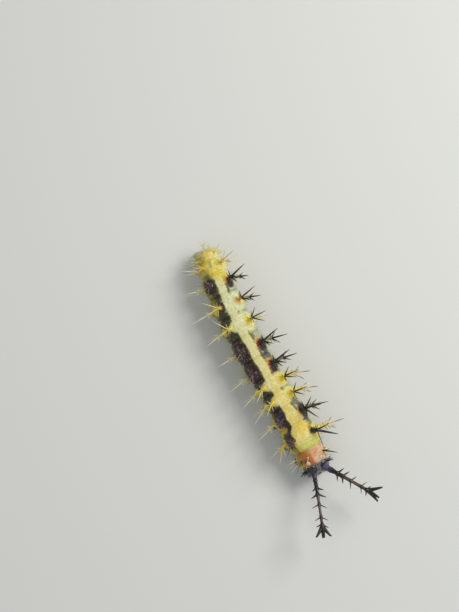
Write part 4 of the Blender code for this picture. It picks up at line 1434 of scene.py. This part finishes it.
def biting(side):
    """Bends a jaw inward and gives its edge small teeth."""
    def press(p):
        p = p.copy()
        p[:, 1] -= side * 0.35 * ramp(p[:, 2], 0.2, -1.0) * (0.6 + 0.4 * p[:, 0])
        p[:, 2] += 0.06 * np.sin(p[:, 1] * 14) * ramp(p[:, 2], 0.0, -0.8)
        return p

    return press


def face_places(points, side=1):
    """Places on the head, mirrored for the right side."""
    return [head_place((x, y * side, z)) for x, y, z in points]


print("a bead of the usual size has", len(grid_faces(9, 16)), "faces")

# %% Lip, jaws, feelers and palps
# For each point of a chain: ahead, out and up from the middle of the head, its radius, and its colour.
FEELER = (
    ((0.36, 0.54, -0.70), 0.095, paint(44, 30, 24)),
    ((0.47, 0.58, -0.74), 0.085, paint(52, 34, 26)),
    ((0.48, 0.58, -0.745), 0.060, paint(96, 66, 44)),
    ((0.60, 0.62, -0.80), 0.055, paint(84, 56, 38)),
    ((0.605, 0.622, -0.80), 0.032, paint(110, 80, 56)),
    ((0.68, 0.64, -0.84), 0.026, paint(60, 42, 32)),
)
PALP_PAINT = paint(70, 48, 36)
PALP = (
    ((0.18, 0.22, -0.98), 0.085, PALP_PAINT),
    ((0.30, 0.25, -1.02), 0.075, PALP_PAINT),
    ((0.305, 0.25, -1.02), 0.055, PALP_PAINT),
    ((0.39, 0.26, -1.06), 0.05, PALP_PAINT),
    ((0.395, 0.26, -1.06), 0.032, PALP_PAINT),
    ((0.45, 0.265, -1.08), 0.022, PALP_PAINT),
)
SPINNERET = ((0.20, 0, -1.02), (0.34, 0, -1.10), (0.42, 0, -1.12))
FEELER_HAIR = ((0.67, 0.638, -0.835), (0.86, 0.68, -0.93))
# Of each egg in the middle of the mouth: its place, its half sizes, its colour, sides, rows and press.
MOUTH_EGGS = (
    ((0.40, 0, -0.72), (0.17, 0.25, 0.16), paint(58, 34, 24), 28, 16, notched),
    ((0.36, 0, -0.60), (0.17, 0.34, 0.07), paint(50, 42, 38), 24, 10, None),
    ((0.14, 0, -0.98), (0.22, 0.20, 0.12), paint(64, 44, 34), 18, 10, None),
)
JAW_SPOT, JAW_SIZE = (0.32, 0.24, -0.86), (0.20, 0.24, 0.23)
mouth = [bead(head_place(spot), size, HEAD_AXES, *how) for spot, size, *how in MOUTH_EGGS]
mouth.append(tube(face_places(SPINNERET), (0.06, 0.035, 0.015), 10, BRICK * 0.5))
for side in (1, -1):
    jaw = face_places([JAW_SPOT], side)[0]
    mouth.append(bead(jaw, JAW_SIZE, HEAD_AXES, JET, 20, 12, biting(side)))
    spots, girths, colours = zip(*FEELER)
    mouth.append(tube(face_places(spots, side), girths, 12, colours))
    mouth.append(tube(face_places(FEELER_HAIR, side), (0.009, 0.003), 6, BRICK * 0.5))
    spots, girths, colours = zip(*PALP)
    mouth.append(tube(face_places(spots, side), girths, 12, colours))
mouth_finish = shell_finish("mouth_finish", 0.30, 0.06, 0.01, 0.2)
piece("mouth_parts", joined(mouth), mouth_finish)

# %% Eyes
# Up and out on the cheek, for each of the six.
EYE_SPOTS = ((-0.30, 0.80), (-0.40, 0.90), (-0.52, 0.94), (-0.64, 0.90), (-0.70, 0.80), (-0.56, 0.72))
EYE_AHEAD, EYE_RADIUS, EYE_SUNK = 0.42, 0.048, 0.012
EYE_PAINT = paint(26, 14, 10)
eyes = []
for side in (1, -1):
    for z, y in EYE_SPOTS:
        guess = unit(np.array((EYE_AHEAD, y * side, z)))
        spot = head_place(guess * (float(capsule(guess[None])[0]) - EYE_SUNK))
        eyes.append(bead(spot, (EYE_RADIUS,) * 3, HEAD_AXES, EYE_PAINT, 14, 8))
glass, shader, add, link = shader_nodes("eye_glass")
cloud = add("ShaderNodeTexNoise", {"Scale": 9000.0})
tone = add("ShaderNodeMapRange", {"Value": cloud.outputs["Fac"], "To Min": 0.01, "To Max": 0.03})
link(tone.outputs["Result"], shader.inputs["Base Color"])
shader.inputs["Roughness"].default_value = 0.06
shader.inputs["Coat Weight"].default_value = 1.0
piece("eyes", joined(eyes), glass)

# %% Spikes of the head
# Angle from the top, lean forward in degrees, length.
HEAD_SPIKES = ((46, -8, 0.34), (62, 20, 0.62), (78, -20, 0.46), (95, 10, 0.56), (125, 25, 0.46))
SPIKE_RADIUS, SIDE_SPIKE_RADIUS = 0.075, 0.038
# Spikes, thorns and hairs of the hard parts are all given the middle of the unwrap as their place.
UNWRAP_MIDDLE = (0.5, 0.5)
spikes = []
for side in (1, -1):
    for degrees, front, length in HEAD_SPIKES:
        around = math.radians(degrees)
        out = level_left * side * math.sin(around) + UP * math.cos(around)
        way = unit(out + HEAD_AXES[0] * math.tan(math.radians(front)))
        root = head_middle + np.array((out[0] * 0.95, out[1] * 0.95, out[2] * 0.85))
        foot = root - way * 0.10
        spikes.append(branch(foot, way, length + 0.10, SPIKE_RADIUS, "black", UNWRAP_MIDDLE, 8, 0.03))
        for _ in range(2):
            small = unit(way + 0.55 * chance.normal(size=3))
            reach = length * chance.uniform(0.4, 0.6)
            foot = root - way * 0.06
            spikes.append(branch(foot, small, reach, SIDE_SPIKE_RADIUS, "black", UNWRAP_MIDDLE))
print(len(spikes), "spikes on the head")

# %% Hairs of the head
HEAD_HAIRS, HAIR_RADIUS = 150, 0.0075
picked = chance.choice(len(head_ways), HEAD_HAIRS, replace=False)
for k in picked:
    if head_ways[k, 0] < -0.2:
        continue
    way = unit(head_ways[k] + 0.25 * chance.normal(size=3)) @ HEAD_AXES
    coat = "pale" if chance.random() < 0.5 else "black"
    reach = chance.uniform(0.16, 0.38)
    spikes.append(branch(head_place(head_local[k]), way, reach, HAIR_RADIUS, coat, UNWRAP_MIDDLE, 5))
spike_finish = shell_finish("head_spike_finish", 0.26, 0.08, 0.01, 0.3)
piece("head_spikes", joined(spikes), spike_finish)

# %% [markdown]
# ## The horns
# Each horn rises from the top of one lobe, leans out and forward, and ends in a crown of thick prongs.
# Rings of thorns stand along it. It is black at both ends and warm brown in the middle. The stem is one
# tube with knots where the thorns leave it, which is how the real one looks under a lens.

# %% Measures of the horns
HORN_BOW = 0.22
HORN_SPLAY, HORN_RISE = math.radians(27), math.radians(18)
# Left and right: the length of the stem, and how many degrees more it splays.
HORN_SHAPES = {1: (4.05, 2.0), -1: (4.50, -3.0)}
# Shares of the stem, and its radius there on the left and on the right.
GIRTH_PLACES = (-0.05, 0.0, 0.08, 0.25, 0.6, 0.88, 0.95, 1.0)
HORN_GIRTHS = {
    1: (0.32, 0.30, 0.22, 0.165, 0.125, 0.130, 0.18, 0.15),
    -1: (0.25, 0.22, 0.165, 0.140, 0.105, 0.110, 0.165, 0.14),
}
# How far along the stem, how many thorns, their length and their radius at the root.
WHORLS = (
    (0.13, 1, 0.34, 0.060), (0.27, 3, 0.44, 0.085), (0.38, 3, 0.50, 0.090), (0.56, 2, 0.50, 0.058),
    (0.78, 3, 0.42, 0.050), (0.90, 2, 0.36, 0.070),
)
# Each prong of the crown, left and right: its turn from the top, its splay and its length.
CROWNS = {
    1: ((268, 40, 1.12), (12, 12, 1.12), (92, 15, 1.14), (180, 30, 0.92)),
    -1: ((270, 28, 1.03), (0, 13, 1.04), (84, 30, 0.98), (176, 26, 0.94)),
}
CROWN_BACK, PRONG_RADIUS = 0.34, 0.160
PRONG_SHAPE = ((0.0, 1.0), (0.15, 1.0), (0.4, 0.86), (0.7, 0.64), (0.88, 0.48), (0.96, 0.36), (1.0, 0.12))
STEM_BROWN = paint(102, 76, 58)
STEM_VIOLET_SHEEN = {1: 0.70, -1: 0.35}
print(sum(whorl[1] for whorl in WHORLS), "thorns and", len(CROWNS[1]), "prongs on each horn")


# %% Stem, thorns and crown
def horn_line(side):
    """Directions along the horn, up across it and sideways across it, and the line of its stem."""
    out = level_left * side
    length, more_splay = HORN_SHAPES[side]
    splay = HORN_SPLAY + math.radians(more_splay)
    level = level_forward * math.cos(splay) + out * math.sin(splay)
    way = level * math.cos(HORN_RISE) + UP * math.sin(HORN_RISE)
    bow = UP * math.cos(HORN_RISE) - level * math.sin(HORN_RISE)
    seat = head_middle + level_forward * HORN_SEAT[0] + out * HORN_SEAT[1] + UP * HORN_SEAT[2]

    def along(share):
        share = np.asarray(share)[..., None]
        return seat + way * length * share + bow * HORN_BOW * np.sin(np.pi * share)

    return way, bow, np.cross(way, bow), along


def horn_stem(side, along):
    """The stem, with a knot under each whorl, a painted violet sheen at the root and brown in the middle."""
    t = np.linspace(-0.05, 1.0, 90)
    radius = np.interp(t, GIRTH_PLACES, HORN_GIRTHS[side])
    for share, _, _, thick in WHORLS:
        radius = radius + 0.62 * thick * ridge(t, share, 0.021)
    radius = radius * (1 + 0.06 * np.sin(t * 57 + side) * np.sin(t * 23))
    middle = ramp(t, 0.30, 0.50) * ramp(t, 0.90, 0.74)
    # Painted violet sheen at the root, stronger on the lit left horn.
    base = mixed(JET, VIOLET_SHEEN, STEM_VIOLET_SHEEN[side] * ramp(t, 0.20, 0.04))
    knots = sum(ridge(t, share, 0.030) for share, *_ in WHORLS)
    colour = mixed(base, STEM_BROWN, 0.80 * middle * np.clip(1 - 0.75 * knots, 0, 1))
    return tube(along(t), radius, 24, colour)


def horn_thorns(way, bow, aside, along):
    """The thorns of every whorl, each leaning a little towards the crown."""
    made = []
    t, girth = map(np.array, zip(*BRANCH_SHAPE))
    for number, (share, count, thorn, thick) in enumerate(WHORLS):
        tone = JET if not 0.45 < share < 0.85 else JET * 0.6 + BRICK * 0.4
        for k in range(count):
            around = 2 * math.pi * (k + number / 2) / count + chance.uniform(-0.25, 0.25)
            outward = bow * math.cos(around) + aside * math.sin(around)
            lean = math.radians(22 + chance.uniform(-8, 8))
            spike = unit(outward * math.cos(lean) + way * math.sin(lean))
            reach = (thorn + 0.15) * chance.uniform(0.85, 1.12)
            path = along(share) + spike * (t * reach)[:, None] + way * (t * t * 0.06 * reach)[:, None]
            made.append(tube(path, girth * thick, 8, tone))
    return made


def horn_crown(side, way, bow, aside, along):
    """The thick prongs at the end, with two small spikes near the tip of each."""
    made = []
    seat = along(1.0) - way * CROWN_BACK
    t, girth = map(np.array, zip(*PRONG_SHAPE))
    for turn, splay, prong in CROWNS[side]:
        around = math.radians(turn)
        outward = bow * math.cos(around) + aside * math.sin(around)
        splay = math.radians(splay + chance.uniform(-2, 2))
        spike = unit(outward * math.sin(splay) + way * math.cos(splay))
        reach = prong * chance.uniform(0.95, 1.05)
        path = seat + spike * (t * reach)[:, None] + outward * (t * t * 0.08)[:, None]
        made.append(tube(path, girth * PRONG_RADIUS, 12, JET))
        root = path[-2] - spike * 0.12
        for twist in (0.9, -0.7):
            small = unit(spike + 0.7 * (math.cos(around + twist) * bow + math.sin(around + twist) * aside))
            made.append(branch(root, small, 0.20 * chance.uniform(0.7, 1.1), 0.045, "black", UNWRAP_MIDDLE))
    return made


print("a prong is", 2 * PRONG_RADIUS, "mm thick at its root")

# %% Grow the horns
horn_finish = shell_finish("horn_finish", 0.38, 0.07, 0.02, 0.15)
for side, word in ((1, "left"), (-1, "right")):
    way, bow, aside, along = horn_line(side)
    made = [horn_stem(side, along)]
    made += horn_thorns(way, bow, aside, along)
    made += horn_crown(side, way, bow, aside, along)
    piece(f"horn_{word}_stem", joined(made), horn_finish, [f"horn_{word}"])

# %% [markdown]
# ## The true legs
# Three pairs of short jointed legs under the first three rings end in a hooked claw. Each is a chain of
# hard cuffs with soft joints between, and it stands on the floor where the solid leg does.

# %% Measures of the legs
LEG_SEGMENTS = ("prothorax", "mesothorax", "metathorax")
# Share of the leg, and its radius there.
LEG_GIRTH = ((0.0, 0.40), (0.25, 0.33), (0.55, 0.235), (0.80, 0.155), (1.0, 0.095))
# Where each hard cuff begins and ends, and the girth along a cuff.
CUFFS = ((0.08, 0.34), (0.38, 0.60), (0.63, 0.80), (0.83, 0.985))
CUFF_SHAPE = (
    (0.0, 0.86), (0.08, 1.04), (0.30, 1.09), (0.70, 1.10), (0.90, 1.12), (0.97, 1.05), (1.0, 0.84),
)
# The bends below the hip: share of the body's half width outward, millimetres ahead, height.
LEG_BENDS = ((1.02, 0.06, 0.90), (0.98, 0.24, 0.46), (0.77, 0.24, 0.115))
HIP_ANGLE = 128
# The claw from the foot: ahead, inward and down, and its radius.
CLAW = ((0, 0, 0, 0.080), (0.05, 0, 0.035, 0.060), (0.055, 0.01, 0.07, 0.034), (0.01, 0.04, 0.10, 0.006))
LEG_SKIN = paint(120, 96, 60)
HAIRS_ON_A_CUFF = 4


def leg_line(knots, t):
    """A smooth bent line through the reach of four knots."""
    t = np.asarray(t, float)[:, None]
    weights = ((1 - t) ** 3, 3 * t * (1 - t) ** 2, 3 * t * t * (1 - t), t**3)
    return sum(weight * knot for weight, knot in zip(weights, knots))


def leg_radius(t):
    """The radius of a leg at a share of its length."""
    return np.interp(t, *zip(*LEG_GIRTH))


print("a leg is", 2 * LEG_GIRTH[0][1], "mm thick at the hip and", 2 * LEG_GIRTH[-1][1], "at the foot")

# %% Legs and claws
legs_finish = shell_finish("leg_finish", 0.30, 0.08, 0.015, 0.3)
claws = []
for number, name in enumerate(LEG_SEGMENTS, 1):
    place = SPANS[name][2]
    middle, forward, left = body_line(place)
    for side, word in ((1, "left"), (-1, "right")):
        outward = left * side
        knots = [skin_point(place, HIP_ANGLE * side, False) * 0.65 + middle * 0.35]
        for share, ahead, high in LEG_BENDS:
            spot = middle + outward * half_width(place) * share + forward * ahead
            knots.append(np.array((*spot[:2], high)))
        t = np.linspace(0, 1, 34)
        wave = np.sin(t * 60)
        flesh = mixed(LEG_SKIN, UMBER, 0.35 + 0.2 * wave)
        made = [tube(leg_line(knots, t), leg_radius(t) * (1 + 0.03 * wave), 16, flesh)]
        for begin, end in CUFFS:
            u, shape = map(np.array, zip(*CUFF_SHAPE))
            t = begin + (end - begin) * u
            shade = mixed(JET, BRICK, 0.30 * (u > 0.85) + 0.25 * (u < 0.1))
            made.append(tube(leg_line(knots, t), leg_radius(t) * shape, 18, shade))
            for _ in range(HAIRS_ON_A_CUFF):
                root = leg_line(knots, [begin + (end - begin) * chance.uniform(0.3, 0.8)])[0]
                way = unit(chance.normal(size=3) + outward - UP * 0.3)
                made.append(branch(root, way, leg_radius(begin) + 0.14, 0.008, "pale", UNWRAP_MIDDLE, 5))
        hook = [knots[-1] + forward * a - outward * b - UP * c for a, b, c, _ in CLAW]
        claws.append(tube(hook, [radius for *_, radius in CLAW], 12, BRICK * 0.5))
        solid = f"leg_{number}_{word}"
        piece(f"{solid}_cuffs", joined(made), legs_finish, [solid])
claw_finish = shell_finish("claw_finish", 0.22, 0.05, 0.01, 0.4)
piece("claws", joined(claws), claw_finish)

# %% [markdown]
# ## Hooks and breathing holes
# A crown of tiny hooks rings the sole of every proleg, and an oval breathing hole opens on the flank of
# most rings. Both are small, but a reader with a lens looks for them first.

# %% Hooks under the prolegs
HOOKS = 22
# Each point of a hook: its height over the floor, how far out from the rim of the sole, and its radius.
HOOK = ((0.055, 0.03, 0.018), (0.03, 0.055, 0.014), (0.006, 0.04, 0.004))
hooks = []
for sole, forward, outward, ankle in feet:
    for k in range(HOOKS):
        around = 2 * math.pi * k / HOOKS
        out = forward * math.cos(around) + outward * math.sin(around)
        spot = np.array((sole[0], sole[1], 0.0)) + out * ankle * 1.02
        path = [spot + UP * high + out * wide for high, wide, _ in HOOK]
        hooks.append(tube(path, [radius for *_, radius in HOOK], 5, BRICK * 0.6))
piece("proleg_hooks", joined(hooks), claw_finish)

# %% Breathing holes
NO_HOLES = ("abdomen_end", "mesothorax", "metathorax")
HOLE_ANGLE, HOLE_BACK = 90, 0.20
HOLE_PAINT = paint(120, 104, 70)
# The rim of a hole: half its length, half its height, how far it stands out, and its thickness.
RIM_LONG, RIM_HIGH, RIM_OUT, RIM_RADIUS = 0.055, 0.085, 0.015, 0.020
rim_turns = np.linspace(0, 2 * np.pi, 25)
holes = []
for name, (start, end, place, _) in SPANS.items():
    if name in NO_HOLES:
        continue
    s = place - HOLE_BACK * (end - start)
    for side in (1, -1):
        angle = HOLE_ANGLE * side
        middle = skin_point(s, angle)
        out = skin_way(np.array(s), angle)
        forward = body_line(s)[1]
        upright = np.cross(out, forward)
        rim = [
            middle + out * RIM_OUT + forward * RIM_LONG * math.cos(a) + upright * RIM_HIGH * math.sin(a)
            for a in rim_turns
        ]
        axes = np.array((out, forward, upright))
        holes.append(tube(rim, np.full(len(rim), RIM_RADIUS), 8, JET))
        holes.append(bead(middle, (0.03, 0.05, 0.08), axes, HOLE_PAINT, 12, 8))
hole_finish = shell_finish("breathing_hole_finish", 0.34, 0.04, 0.01)
piece("breathing_holes", joined(holes), hole_finish)
